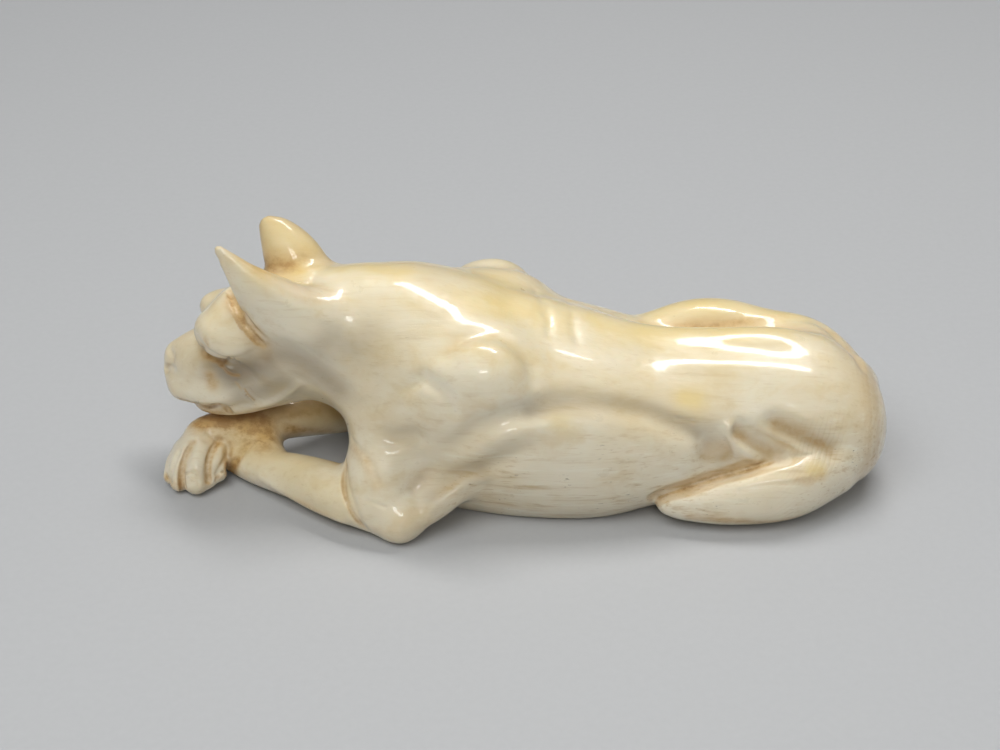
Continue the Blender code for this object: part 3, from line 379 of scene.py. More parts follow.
def build():
    F = Form()
    add_trunk(F)
    # rump and haunches
    F.ball((39.8, 0.4, 10.6), (9.4, 10.4, 10.0), k=4)
    F.ball((27.0, 8.8, 12.9), (13.2, 6.4, 9.6), turn(0, 3, 0), k=2.6)        # far haunch
    F.ball((37.0, 6.0, 11.8), (9.0, 6.8, 9.4), k=3.0)
    F.ball((43.2, -2.4, 8.6), (6.6, 7.6, 7.4), k=3)
    F.limb([(0, 0.0, 25.0, 2.4), (8, 0.2, 22.8, 2.2), (16, 0.5, 21.0, 2.0), (25, 0.7, 20.6, 2.0), (34, 0.6, 20.8, 2.0), (40, 0.3, 19.0, 2.0)], k=3)
    # near thigh lying flat: from the hip down to the knee that points at the elbow
    F.limb([(40.8, -6.4, 7.0, 6.4), (35.5, -10.0, 5.4, 5.6), (28.5, -11.9, 4.4, 4.3), (22.5, -12.6, 4.0, 3.0), (20.2, -12.8, 4.1, 2.3)], k=0.8, n=60)
    # far hind leg: thigh, knee, shank, hock, foot and toes
    F.limb([(38, 7, 12, 7.0), (28, 11, 10, 5.6), (18.5, 13.0, 8.0, 3.8)], k=2.5)
    F.limb([(18.5, 12.8, 6.5, 3.4), (27, 14.0, 4.6, 2.9), (36, 14.6, 2.9, 2.2)], k=2.0)
    F.limb([(36, 14.6, 2.3, 2.2), (30, 15.6, 1.9, 1.9), (24.6, 15.9, 2.0, 2.1)], k=1.0)
    for dy in (-1.5, 0.0, 1.5):
        F.limb([(24.6, 15.9 + dy, 2.0, 1.3), (22.0, 15.8 + 1.15 * dy, 1.9, 1.15), (20.4, 15.7 + 1.15 * dy, 1.2, 0.9)], k=0.5)
    # tail, round the far side of the rump
    F.limb([(45.5, 0.6, 16.4, 2.0), (48.2, 3.2, 12.0, 1.9), (47.2, 8.0, 6.0, 1.7), (43.0, 12.4, 2.6, 1.5), (39.0, 14.4, 1.6, 1.2)], k=1.0)
    # near shoulder, upper arm and elbow
    F.ball((-6.5, -8.8, 19.0), (8.2, 6.4, 9.0), turn(0, 20, 0), k=3.5)
    F.limb([(-16.8, -6.0, 15.0, 5.8), (-18.0, -9.0, 10.0, 5.8), (-19.4, -12.0, 6.1, 5.1), (-17.4, -15.4, 3.0, 2.9)], k=2.5)
    F.limb([(-8.5, -12.5, 7.5, 2.6), (-12.5, -14.4, 5.0, 2.7), (-16.8, -16.2, 2.6, 2.2)], k=2.0)
    # far shoulder
    F.ball((-4.5, 8.8, 19.5), (8.2, 6.4, 9.0), turn(0, 20, 0), k=3.5)
    F.limb([(-16.8, 6.0, 15.0, 5.8), (-17.6, 9.0, 10.0, 5.7), (-18.4, 12.0, 5.8, 4.4), (-18.0, 14.0, 3.2, 3.0)], k=2.5)
    F.limb([(-6.5, 12.0, 7.5, 3.0), (-11.0, 13.4, 5.2, 3.2), (-17.0, 14.2, 3.0, 2.6)], k=2.0)
    # near (left) forearm to its paw, underneath
    F.limb([(-16.8, -15.6, 3.1, 2.9), (-21.7, -13.3, 4.0, 3.7), (-26, -10.8, 4.2, 3.7), (-31.5, -7.2, 3.8, 3.2), (-37.5, -3.6, 3.0, 2.5),
            (-41.5, 0.0, 2.6, 2.3)], k=1.5)
    F.ball((-43.0, 3.0, 2.4), (2.8, 3.4, 2.6), turn(-50, 0, 0), k=1.2)
    for side in (-2.4, -0.8, 0.8, 2.4):
        F.limb([(-43.4 + 0.75 * side, 4.2 + 0.6 * side, 2.7, 1.3), (-44.6 + 0.8 * side, 5.9 + 0.62 * side, 2.2, 1.2), (-45.2 + 0.8 * side, 6.9 + 0.62 * side, 1.3, 0.95)], k=0.5)
    # far (right) forearm crossing over
    F.limb([(-17.4, 13.6, 3.8, 3.3), (-24, 9.2, 4.5, 3.4), (-31, 4.8, 6.2, 3.2), (-37.5, 2.0, 6.7, 2.8),
            (-42.6, 1.3, 6.0, 2.6)], k=0.8)
    F.ball((-38.0, -0.8, 4.4), (4.4, 2.8, 3.0), turn(-28, 0, 0), k=2.4)       # where the two meet
    # its paw: back of the paw and four toes
    F.limb([(-42.6, 1.3, 5.9, 2.6), (-45.2, 0.5, 5.3, 2.8), (-46.2, -1.6, 4.1, 2.9)], k=1.0)
    for toe in (((-48.3, -1.4, 4.0, 1.5), (-49.2, -2.8, 3.0, 1.35), (-49.7, -4.2, 1.7, 1.1)), ((-47.4, -2.0, 4.4, 1.8), (-48.1, -4.0, 3.4, 1.6), (-48.3, -5.6, 1.7, 1.35)),
                ((-45.6, -2.6, 4.3, 1.9), (-45.9, -4.6, 3.3, 1.8), (-45.9, -6.0, 1.8, 1.6)), ((-43.6, -2.0, 4.2, 2.0), (-43.5, -3.2, 3.3, 1.8), (-43.2, -3.9, 2.3, 1.5))):
        F.limb(toe, k=0.8)
    F.ball((-46.1, -3.3, 3.5), (3.2, 2.5, 2.5), k=1.0)
    F.limb([(-44.7, -3.6, 3.2, 1.7), (-44.6, -5.0, 1.8, 1.4)], k=0.8)
    # head
    head(F)
    relief(F)

    return F

def head(F):
    H = turn(-18, 33, 0)      # local -x points down the muzzle
    F.ball((-35.6, 0.8, 23.3), (7.4, 6.2, 5.8), H, k=3)                       # skull
    F.limb([(-41.2, -1.6, 24.6, 1.9), (-41.6, 4.0, 24.4, 1.7)], k=2.0)        # forehead
    F.ball((-35.8, 0.6, 16.8), (6.2, 4.5, 5.6), k=2.4)                         # cheeks and jaw muscles
    F.limb([(-39.5, 0.9, 18.4, 4.6), (-43.6, 2.3, 16.9, 4.5), (-46.9, 3.5, 14.9, 3.7)], k=1.6,
           m=turn(-18, 20, 0), squash=(1, 0.94, 1.04))                        # muzzle
    F.limb([(-41.0, 1.4, 21.6, 2.4), (-45.0, 3.0, 19.4, 2.0), (-48.2, 4.1, 17.3, 1.7)], k=1.4)   # bridge of the nose
    F.ball((-39.2, -1.9, 23.3), (5.9, 4.4, 3.8), turn(-16, 16, -14), k=1.6)   # near brow and temple
    F.ball((-38.0, -1.0, 25.9), (4.3, 3.6, 3.2), turn(-16, 22, 0), k=1.6)      # rise from the brow to the ear
    F.ball((-37.8, 2.9, 23.3), (5.6, 4.2, 3.7), turn(-20, 16, 14), k=1.6)      # far temple
    F.ball((-41.8, 4.2, 24.5), (3.0, 2.6, 2.1), turn(0, 10, 0), k=1.1)         # far brow
    F.ball((-48.6, 4.2, 16.7), (1.6, 1.9, 1.5), k=0.7)                        # nose
    F.limb([(-38.5, -1.2, 15.4, 2.6), (-43, -0.4, 14.0, 2.5), (-47.6, 1.9, 13.2, 2.3)], k=1.0)   # near lip
    F.limb([(-38.5, 3.6, 15.4, 2.6), (-43, 4.9, 14.1, 2.5), (-47.0, 5.0, 13.6, 2.1)], k=1.0)     # far lip
    F.limb([(-33, -0.4, 14.8, 2.6), (-38, -0.6, 12.9, 2.3), (-41.5, -0.2, 11.7, 1.9), (-44.3, 1.0, 11.0, 1.6), (-45.6, 2.2, 11.0, 1.3)], k=0.4)      # lower jaw, near side
    F.limb([(-34, 1.4, 14.4, 2.6), (-40, 2.4, 11.9, 2.3), (-44.3, 4.0, 11.2, 1.6), (-45.6, 3.6, 11.1, 1.3)], k=0.4)      # and far side
    # ears
    F.limb([(-28.5, -4.2, 26.6, 5.0), (-32.4, -4.6, 29.4, 4.2), (-36.4, -5.0, 33.6, 2.6), (-38.5, -5.0, 36.5, 1.5), (-39.8, -4.9, 38.4, 0.7)], k=2.0,
           n=60, m=turn(-24, 0, 0), squash=(1.1, 0.7, 1.1))
    F.limb([(-29.2, 4.6, 26.6, 4.0), (-31.6, 6.3, 30.8, 3.6), (-33.4, 7.3, 33.7, 2.5), (-34.8, 7.7, 35.3, 1.4)], k=2.0,
           n=60, m=turn(20, 0, 0), squash=(1.1, 0.7, 1.1))


# Relief: each line is a name, sketch points in mm (a fourth number scales the depth there), the line's width and
# its depth in mm, with a negative depth for a ridge, and the mirror that repeats it on the far side. A spot has
# its radii in place of the width. The points are set onto the surface before anything is carved.
FLANK = (0.0, 0.0, 0.0)         # turn about Z in degrees and a point of the mirror: the body's middle
FACE = (-19.4, -40.5, 1.15)     # the face's middle, which is turned with the head
LINES = {
    "rib groove": ([(-9.5, -15.5, 14.5, 0.5), (-7.5, -16, 16.5, 0.8), (-6, -16, 18, 1), (-3, -15.5, 19, 1), (0.5, -14, 19.5, 1), (3.5, -13, 20, 0.8), (7.5, -12.5, 20, 0.65), (11.5, -12, 19, 0.65), (16.5, -12, 17.5, 0.75), (20.5, -12.5, 16, 0.9), (24.5, -12.5, 14, 0.8)], 1.5, 0.95, FLANK),
    "rib swell": ([(-7.5, -15.5, 13, 0.6), (-4.5, -16, 15.5, 1), (-1.5, -15.5, 17, 1), (2.5, -14.5, 17, 0.6)], 1.6, -0.45),
    "behind elbow": ([(-13.5, -16.5, 6.5, 0.6), (-11.5, -15.5, 8, 0.9), (-9.5, -15, 9, 1), (-7.5, -15, 10, 0.9), (-4.5, -15.5, 11.5, 0.8), (-2, -15.5, 13, 0.6), (0.5, -15.5, 14, 0.4)], 1.3, 0.8, FLANK),
    "elbow flap edge": ([(-12.5, -17, 6), (-10, -16, 7.5), (-7.5, -15, 9), (-5.5, -15, 9.5)], 0.9, -0.4),
    "shoulder arc": ([(-10, -11.5, 27, 0.6), (-9, -10.5, 28, 0.9), (-6.5, -9.5, 28.5, 1), (-3.5, -9, 28, 1), (-1.5, -9.5, 27, 0.9), (0.5, -10.5, 25, 0.8), (1, -12, 23, 0.5)], 1.5, 0.75, FLANK),
    "upper arm arc": ([(-15.5, -12.5, 22, 0.6), (-13.5, -12.5, 23.5, 1), (-11.5, -13.5, 23, 1), (-10, -14.5, 22, 1), (-9.5, -15, 20, 0.6)], 1, 0.45, FLANK),
    "upper arm pit": ([(-18.5, -13, 15, 0.7), (-17, -13.5, 14.5, 1), (-14.5, -14, 15.5, 0.7)], 1.3, 0.85, FLANK),
    "neck base": ([(-25.5, -9, 25.5, 0.7), (-24, -10, 24, 1), (-23, -10.5, 21.5, 1), (-22.5, -11, 19.5, 0.6)], 2.2, 0.7),
    "arm crease": ([(-24.25, -12.25, 9, 0.6), (-24, -14.25, 7.75, 1), (-23, -16.5, 5.5, 1), (-21.75, -17, 2.25, 0.8)], 0.7, 0.5, FLANK),
    "forearm ridge": ([(-36.5, -7.5, 4), (-34.5, -9, 3.5), (-32, -10.5, 3), (-29, -12.5, 2.5), (-25, -15.5, 2.5)], 0.8, -0.35),
    "flank hollow 2": ([(29, -11.5, 14.5, 0.8), (31.5, -11.5, 13, 1), (35, -11.5, 11, 0.8)], 1.2, 1.35),
    "flank hollow 3": ([(33.5, -10.5, 15, 0.8), (37, -11, 13.5, 1), (41.5, -11.5, 11.5, 0.6)], 1.4, 1.1),
    "flank ridge 1": ([(27.5, -11.5, 15), (28.5, -12, 12.5), (31.5, -12, 10)], 0.8, -0.5),
    "back swell": ([(14, -4.5, 23, 0.4), (24, -4.5, 21, 1), (32, -5, 20.5, 1), (38, -6, 20, 0.5)], 2.4, -0.4),
    "flank ridge 2": ([(31.75, -11, 14.25), (34.75, -11.25, 12.75), (38, -11.75, 11.25)], 0.7, -0.35),
    "thigh crease": ([(18, -13.5, 5, 1), (19.5, -14, 6, 1), (22.5, -14, 7, 1), (25.5, -13.5, 8, 1), (30, -13, 9, 1), (34.5, -12.5, 10.5, 0.9), (38, -12, 11, 0.4)], 0.8, 1.2),
    "rump crease": ([(33.5, 6, 21.5, 0.4), (38.5, 6.5, 21.5, 1), (41.5, 6.5, 20.5, 1), (44, 4, 19.5, 1), (46.5, -1, 18, 0.8)], 0.9, 0.35),
    "fold 1": ([(1.75, 5, 26.75), (2.25, 0.75, 27.75), (2.5, -2, 27.25)], 0.6, 0.12),
    "fold 2": ([(3, 0.5, 27.5), (3.25, -2.75, 26.75), (3.25, -5.25, 26)], 0.6, 0.16),
    "fold 3": ([(6.25, 5.25, 25), (6.5, -2, 26), (7, -5, 24.75)], 0.7, 0.14),
    "brow edge": ([(-44, -3.75, 24, 0.5), (-43, -4.5, 23, 1), (-41.75, -5.25, 22.5, 1), (-39.75, -6, 22.25, 1), (-37.75, -6.5, 22.5, 0.9), (-36, -6.5, 23.5, 0.5)], 0.7, 0.6, FACE),
    "eye hollow": ([(-42, -3, 20, 0.6), (-39.5, -5, 20.5, 1), (-37, -6.5, 21.5, 1), (-35, -6.5, 23, 0.5)], 1.7, 0.8, FACE),
    "ear crevice": ([(-39.75, 0.5, 29.5, 0.5), (-38.5, -2.75, 29.25, 1), (-37.5, -4.75, 28.25, 1), (-36.25, -5.75, 26.75, 1), (-35, -6.5, 25.5, 0.6)], 0.6, 1.1),
    "throat": ([(-35, -6.5, 24.5, 0.5), (-31.5, -8, 24.5, 1), (-28, -9, 23, 1), (-25, -10, 20.5, 1), (-23.5, -10.5, 18, 0.6)], 1.9, 0.9),
    "neck ridge": ([(-30.5, -8, 28.5, 0.5), (-27.5, -9, 26.5, 1), (-24, -10, 23, 1), (-22, -11, 20, 0.5)], 1.7, -0.45),
    "mouth line": ([(-45.5, -1.5, 12.25, 0.8), (-44.25, -2, 12.25, 1), (-42.25, -2.75, 12.75, 1), (-41.25, -2.25, 12, 1), (-40.75, -2.25, 11, 0.8)], 0.45, 0.45),
    "jaw edge": ([(-30.5, -6.5, 19, 0.4), (-32.5, -4, 15, 1), (-35, -3, 13.5, 1), (-37.5, -3, 13, 0.5)], 0.8, -0.3),
    "under nose": ([(-50, 2, 15.5, 1), (-49.5, 1.25, 16, 1), (-48.75, 0.75, 16.5, 0.4)], 0.6, 0.95),
    "toes 1": ([(-46.25, -3, 6.75), (-47, -5, 5.5), (-47.75, -5.75, 4), (-48, -7, 1.75)], 0.5, 0.4),
    "toes 2": ([(-43, -2, 6.25), (-43.75, -4, 5.5), (-44.25, -5.5, 4.25), (-44.25, -6.25, 2.5)], 0.5, 0.45),
    "wrist crease": ([(-41.75, -3.25, 2, 0.8), (-40.5, -4, 4.25, 1), (-39.25, -3.5, 5.75, 1), (-38.25, -3, 6.5, 0.4)], 0.6, 0.7),
    "toes 0": ([(-48.25, -4, 5.75), (-49, -5.25, 4.25), (-49.5, -5.75, 2.25)], 0.4, 0.3),
    "far mouth line": ([(-46.5, 6.75, 12.25, 0.6), (-44, 7, 12.75, 1), (-41.25, 6.5, 12.75, 1), (-38.75, 5.75, 13.25, 0.6)], 0.5, 0.5),
    "near ear hollow": ([(-38, -3.5, 30, 0.5), (-38.5, -4, 32, 1), (-39.5, -4.5, 34, 1), (-40, -4.5, 36.5, 0.4)], 1.1, 0.8),
    "far ear hollow": ([(-33.5, 8, 29, 0.5), (-34.5, 8, 31.5, 1), (-35, 8.5, 33.5, 1), (-35.5, 8.5, 35, 0.4)], 1.1, 0.8),
}
SPOTS = {
    "shoulder swell": ((-5, -13.5, 25.25), (6.0, 5.0, 4.2), -0.7, FLANK),
    "upper arm swell": ((-13.75, -14, 19.25), (2.8, 2.6, 2.6), -0.35),
    "arm front swell": ((-20.5, -15, 10.75), (2.6, 3.0, 4.0), -0.4),
    "flank hollow 1": ((25.75, -12.75, 12.5), (2.2, 2.2, 2.2), 1.8),
    "cheek hollow": ((-39.25, -4, 19), (3.2, 2.6, 2.4), 0.9, FACE),
    "eye": ((-39.75, -5.75, 21.5), (0.8, 0.8, 0.6), -0.4, FACE),
    "cheek": ((-34.75, -5.25, 18.75), (2.8, 2.4, 2.4), -0.35),
    "neck hollow": ((-23.75, -8.25, 27.75), (4.5, 3.0, 4.0), 0.5),
    "temple": ((-35, -6.5, 24.25), (1.6, 1.6, 1.6), 0.5),
}

def mirrored(points, mirror):
    angle, x, y = mirror
    across = V(-math.sin(math.radians(angle)), math.cos(math.radians(angle)), 0)
    points = np.array(points, float)
    points[:, :3] -= 2 * ((points[:, :3] - V(x, y, 0)) @ across)[:, None] * across
    return points

def onto(F, points):
    points = np.array(points, float)
    points[:, :3] = settle(F, points[:, :3], 10)
    return points

def relief(F):
    carve = []
    for points, width, depth, *mirror in LINES.values():
        carve.append((F.stroke, onto(F, points), width, depth))
        for m in mirror:
            carve.append((F.stroke, onto(F, mirrored(points, m)), width, 0.9 * depth))
    for centre, radii, depth, *mirror in SPOTS.values():
        carve.append((F.dent, onto(F, [centre])[0], radii, depth))
        for m in mirror:
            carve.append((F.dent, onto(F, mirrored([centre], m))[0], radii, 0.9 * depth))
    for tool, where, size, depth in carve:
        tool(where, size, depth)
    # valley between the spine and the far haunch
    F.stroke([(10, 4.0, 23.2, .2), (16, 4.4, 21.2, .8), (24, 4.5, 20.4, 1), (32, 4.4, 20.4, 1), (38, 3.9, 20.0, .8), (44, 2.6, 17.2, .3)], 2.4, 1.2)



# Fine carving: points in mm (a fourth number scales the depth), width and depth in mm; a negative depth is a ridge.
FINE_LINES = {
    "far upper lid": ([(-39.11, 4.72, 19.26, 0.6), (-38.58, 4.77, 19.89, 1), (-35.6, 6.79, 21.8, 1), (-36.92, 4.79, 19.59, 0.6)], 0.3, 0.5),
    "upper lid": ([(-41.45, -2.18, 19.21, 0.6), (-40.87, -2.44, 20.11, 1), (-39.5, -5.48, 22.36, 1), (-39.05, -3.29, 20.17, 0.6)], 0.3, 0.5),
    "far lower lid": ([(-38.82, 4.69, 19.23, 0.6), (-38.13, 4.67, 18.56, 1), (-37.47, 4.66, 18.23, 1), (-36.88, 4.66, 18.25, 0.6)], 0.3, 0.5),
    "lower lid": ([(-41.16, -2.28, 19.2, 0.6), (-40.56, -2.61, 18.51, 1), (-39.87, -2.84, 18.17, 1), (-39.1, -3.01, 18.2, 0.6)], 0.3, 0.5),
    "far lower lid rim": ([(-39.1, 4.79, 18.77), (-38.08, 4.75, 17.96), (-36.98, 4.71, 17.75)], 0.4, -0.22),
    "lower lid rim": ([(-41.54, -2.3, 18.72), (-40.59, -2.74, 17.91), (-39.34, -3.06, 17.66)], 0.4, -0.22),
    "far inner corner": ([(-39.82, 6.86, 22.79, 0.6), (-41.3, 5.09, 20.45, 1), (-40.32, 4.9, 19.97, 1), (-39.08, 4.71, 19.6, 0.7)], 0.36, 0.5),
    "inner corner": ([(-43.48, -3.64, 22.8, 0.6), (-43.52, -1.29, 20.43, 1), (-42.61, -1.69, 19.95, 1), (-41.35, -2.15, 19.6, 0.7)], 0.36, 0.5),
    "far brow rim": ([(-39.98, 6.93, 23.81, 0.5), (-39.08, 6.85, 22.98, 1), (-37.5, 6.88, 22.38, 1), (-35.39, 7.34, 22.84, 1), (-34.07, 7.3, 22.79, 0.4)], 0.7, -0.22),
    "brow rim": ([(-43.66, -3.61, 23.82, 0.5), (-42.86, -4.08, 22.99, 1), (-41.45, -4.87, 22.54, 1), (-39.65, -5.99, 23.17, 1), (-38.02, -6.03, 23.27, 0.4)], 0.7, -0.22),
    "brow scratch 1": ([(-42.9, -4.67, 24.79), (-42.79, -4.83, 24.26), (-42.53, -4.98, 23.88)], 0.16, 0.14),
    "brow scratch 2": ([(-42.45, -4.98, 24.83), (-42.35, -5.17, 24.16)], 0.16, 0.12),
    "far muzzle step": ([(-41.24, 5.25, 19.79, 0.7), (-40.23, 5.22, 18.54, 1), (-39.41, 5.38, 17.2, 1), (-38.69, 6.11, 15.83, 0.5)], 1.0, 0.3),
    "muzzle step": ([(-43.61, -1.5, 19.76, 0.7), (-42.81, -2.12, 18.52, 1), (-42.14, -2.51, 16.97, 1), (-41.85, -3.05, 15.52, 0.5)], 1.0, 0.3),
    "far nostril": ([(-48.92, 6.46, 15.4, 1), (-48.05, 6.62, 16.32, 1), (-47.08, 6.73, 16.41, 0.4)], 0.42, 0.42),
    "nostril": ([(-49.91, 2.46, 15.32, 1), (-49.34, 1.96, 16.14, 1), (-48.74, 1.3, 16.24, 0.4)], 0.42, 0.42),
    "nose edge": ([(-49.34, 2.96, 18.4), (-48.78, 1.66, 17.9), (-49, 1.53, 16.83)], 0.5, 0.16),
    "far lip line": ([(-46.16, 6.34, 11.98, 0.5), (-44.04, 6.48, 12.05, 1), (-42.43, 5.28, 11.33, 1), (-39.68, 5.06, 12.49, 1), (-39.2, 4.6, 11.97, 1), (-38.81, 4.09, 10.74, 0.8)], 0.36, 0.5),
    "lip line": ([(-48.46, 0.29, 11.8, 0.5), (-46.6, -0.79, 12.05, 1), (-44.57, -0.82, 11.33, 1), (-42.31, -2.33, 12.62, 1), (-41.43, -1.99, 11.99, 1), (-40.9, -1.88, 10.98, 0.8)], 0.36, 0.5),
    "far lip rim": ([(-45.39, 6.96, 12.93), (-43.52, 6.59, 12.35), (-41.04, 6.2, 13), (-38.95, 5.7, 13.59), (-38.01, 4.71, 13.05), (-37.85, 4.27, 11.66)], 0.5, -0.14),
    "lip rim": ([(-47.99, -0.43, 12.7), (-46.24, -1.17, 12.35), (-44.07, -2.41, 13.02), (-42.11, -3.16, 13.77), (-40.78, -3.04, 13.27), (-40.2, -2.51, 11.83)], 0.5, -0.14),
    "cheek mark 1": ([(-39.41, -3.2, 17.05, 0.6), (-38.89, -3.54, 16.5, 1), (-38.51, -3.82, 15.61, 1), (-37.82, -3.58, 14.21, 0.7)], 0.24, 0.32),
    "cheek mark 2": ([(-38.2, -3.75, 16.23), (-37.64, -3.85, 15.39), (-36.93, -3.52, 14.26)], 0.22, 0.3),
    "cheek mark 3": ([(-37.78, -3.78, 16.33), (-37.09, -3.82, 15.37), (-36.35, -3.59, 14.47)], 0.22, 0.24),
    "cheek mark 4": ([(-38.56, -3.76, 15.98), (-38.08, -3.83, 15.04), (-37.37, -3.43, 13.95)], 0.22, -0.2),
    "far jaw plane": ([(-30.1, 3.05, 13.81, 1), (-32.21, 2, 12.23, 1), (-34.64, 2.81, 11.66, 0.6)], 0.6, -0.26),
    "jaw plane": ([(-30.28, -6.87, 19.18, 0.4), (-32.12, -4.89, 16.32, 1), (-34.74, -3.61, 13.82, 1), (-36.95, -3.05, 12.7, 0.6)], 0.6, -0.26),
    "ear crevice 1": ([(-39.99, 0.64, 28.99, 0.5), (-39.12, -1.6, 28.9, 1), (-38.28, -3.41, 28.34, 1), (-37.35, -4.72, 27.18, 1), (-36.24, -5.35, 25.77, 1), (-34.99, -5.53, 24.31, 0.5)], 0.36, 0.75),
    "ear crevice 2": ([(-38.66, -2.88, 28.57), (-37.89, -4.32, 27.72), (-36.96, -5.21, 26.31), (-35.77, -5.48, 24.67)], 0.2, 0.26),
    "ear crevice 3": ([(-39.15, -2.61, 28.72), (-38.56, -4.05, 28.03), (-37.73, -5.11, 26.8)], 0.2, 0.2),
    "ear nick 1": ([(-39.48, -1.43, 28.95), (-38.91, -1.73, 28.9)], 0.18, 0.25),
    "ear nick 2": ([(-39.16, -2.52, 28.74), (-38.4, -2.82, 28.61)], 0.18, 0.25),
    "ear edge": ([(-39.54, -5.52, 36.84), (-38.71, -5.85, 34.47), (-37.87, -5.76, 31.83), (-37.2, -4.13, 28.23), (-36.27, -4.98, 26.88)], 0.45, -0.2),
    "toe groove 1": ([(-46.4, -2.83, 6.46, 0.4), (-47.14, -3.95, 5.87, 1), (-47.72, -5.27, 4.41, 1), (-47.9, -6.16, 2.64, 1), (-47.87, -6.52, 0.81, 1)], 0.36, 0.4),
    "toe groove 2": ([(-43.06, -1.84, 5.93, 0.4), (-43.7, -3.1, 5.62, 1), (-44.14, -4.59, 4.78, 1), (-44.2, -5.47, 3.52, 1), (-44.09, -5.99, 2.34, 1)], 0.36, 0.4),
    "toe groove 3": ([(-41.87, -3.24, 4.51, 0.4), (-42.46, -4.65, 3.79, 1), (-43.01, -5.34, 2.9, 1)], 0.34, 0.3),
    "nail 1 top": ([(-47.52, -5.9, 3.31), (-46.86, -6.31, 3.78), (-46.13, -6.51, 3.89)], 0.16, 0.24),
    "nail 1 side": ([(-47.52, -5.9, 3.31), (-47.46, -6.3, 2.57), (-47.23, -6.92, 1.81)], 0.16, 0.22),
    "nail 2 side": ([(-45.71, -6.68, 3.62), (-45.5, -7, 3.08), (-45.37, -7.35, 2.47)], 0.16, 0.18),
    "nail 3": ([(-41.81, -2.62, 1.89), (-42.48, -5.05, 2.95), (-43.12, -5.57, 2.03)], 0.2, 0.3),
    "nail 4": ([(-50.3, -4.64, 2.57), (-49.89, -5.31, 2.11), (-49.23, -6.45, 2.16)], 0.2, 0.25),
    "paw ridge 1": ([(-47.18, -3.47, 6.22), (-48.42, -4.38, 4.97), (-48.96, -5.4, 3.64)], 0.8, -0.16),
    "paw ridge 2": ([(-44.92, -3.53, 6.26), (-45.76, -5.11, 5.5), (-45.92, -6.1, 4.49)], 0.8, -0.16),
    "paw tendon": ([(-44.86, -0.92, 7.69), (-45.74, -2.07, 7.12), (-45.97, -2.79, 6.6)], 0.6, -0.14),
    "elbow crease": ([(-24.29, -11.14, 9.3, 0.6), (-24.37, -14.05, 7.4, 1), (-23.85, -15.7, 5.95, 1), (-23.19, -16.46, 4.5, 1), (-21.98, -16.6, 2.57, 0.5)], 0.28, 0.42),
    "elbow wrinkle 1": ([(-23.31, -10.54, 12.37), (-21.8, -13.24, 12.29), (-20.52, -14.86, 11.64), (-19.58, -16.29, 9.55)], 0.5, 0.14),
    "elbow wrinkle 2": ([(-21.24, -16.94, 7.04), (-20.16, -17.3, 6.81), (-18.69, -17.55, 6.33)], 0.3, 0.1),
    "thigh fold": ([(18.51, -13.1, 4.68, 0.6), (20.47, -13.42, 5.93, 1), (22.76, -13.1, 6.7, 1), (26.13, -12.64, 7.71, 1), (29.9, -12.31, 8.73, 1), (33.25, -11.93, 9.7, 0.9), (36.6, -11.76, 10.42, 0.4)], 0.36, 0.42),
    "flank rim": ([(26.37, -11.39, 14.43, 0.6), (27.76, -11.86, 12.96, 1), (28.35, -12.25, 11.59, 1), (28.5, -12.4, 10.2, 0.7)], 0.5, -0.22),
    "flank nick 1": ([(20.23, -11.28, 16.47), (21.31, -11.31, 16.25), (22.66, -11.35, 16.03)], 0.22, 0.16),
    "flank nick 2": ([(35.96, -11.42, 10.51), (37.25, -11.83, 10.54), (38.86, -11.71, 10.87)], 0.24, 0.2),
    "thigh vein": ([(29.02, -14.76, 7.76), (32.35, -14.6, 8.47), (35.71, -14.5, 8.73), (38.19, -14, 8.87)], 0.4, -0.1),
}

# Spots have radii in place of the width.
FINE_SPOTS = {
    "far eyeball": ((-37.86, 4.63, 19.22), (0.9, 0.8, 0.62), -0.6),
    "eyeball": ((-40.15, -2.58, 19.24), (0.9, 0.8, 0.62), -0.6),
    "tear pit": ((-43.59, -1.24, 20.48), (0.5, 0.5, 0.5), 0.4),
}
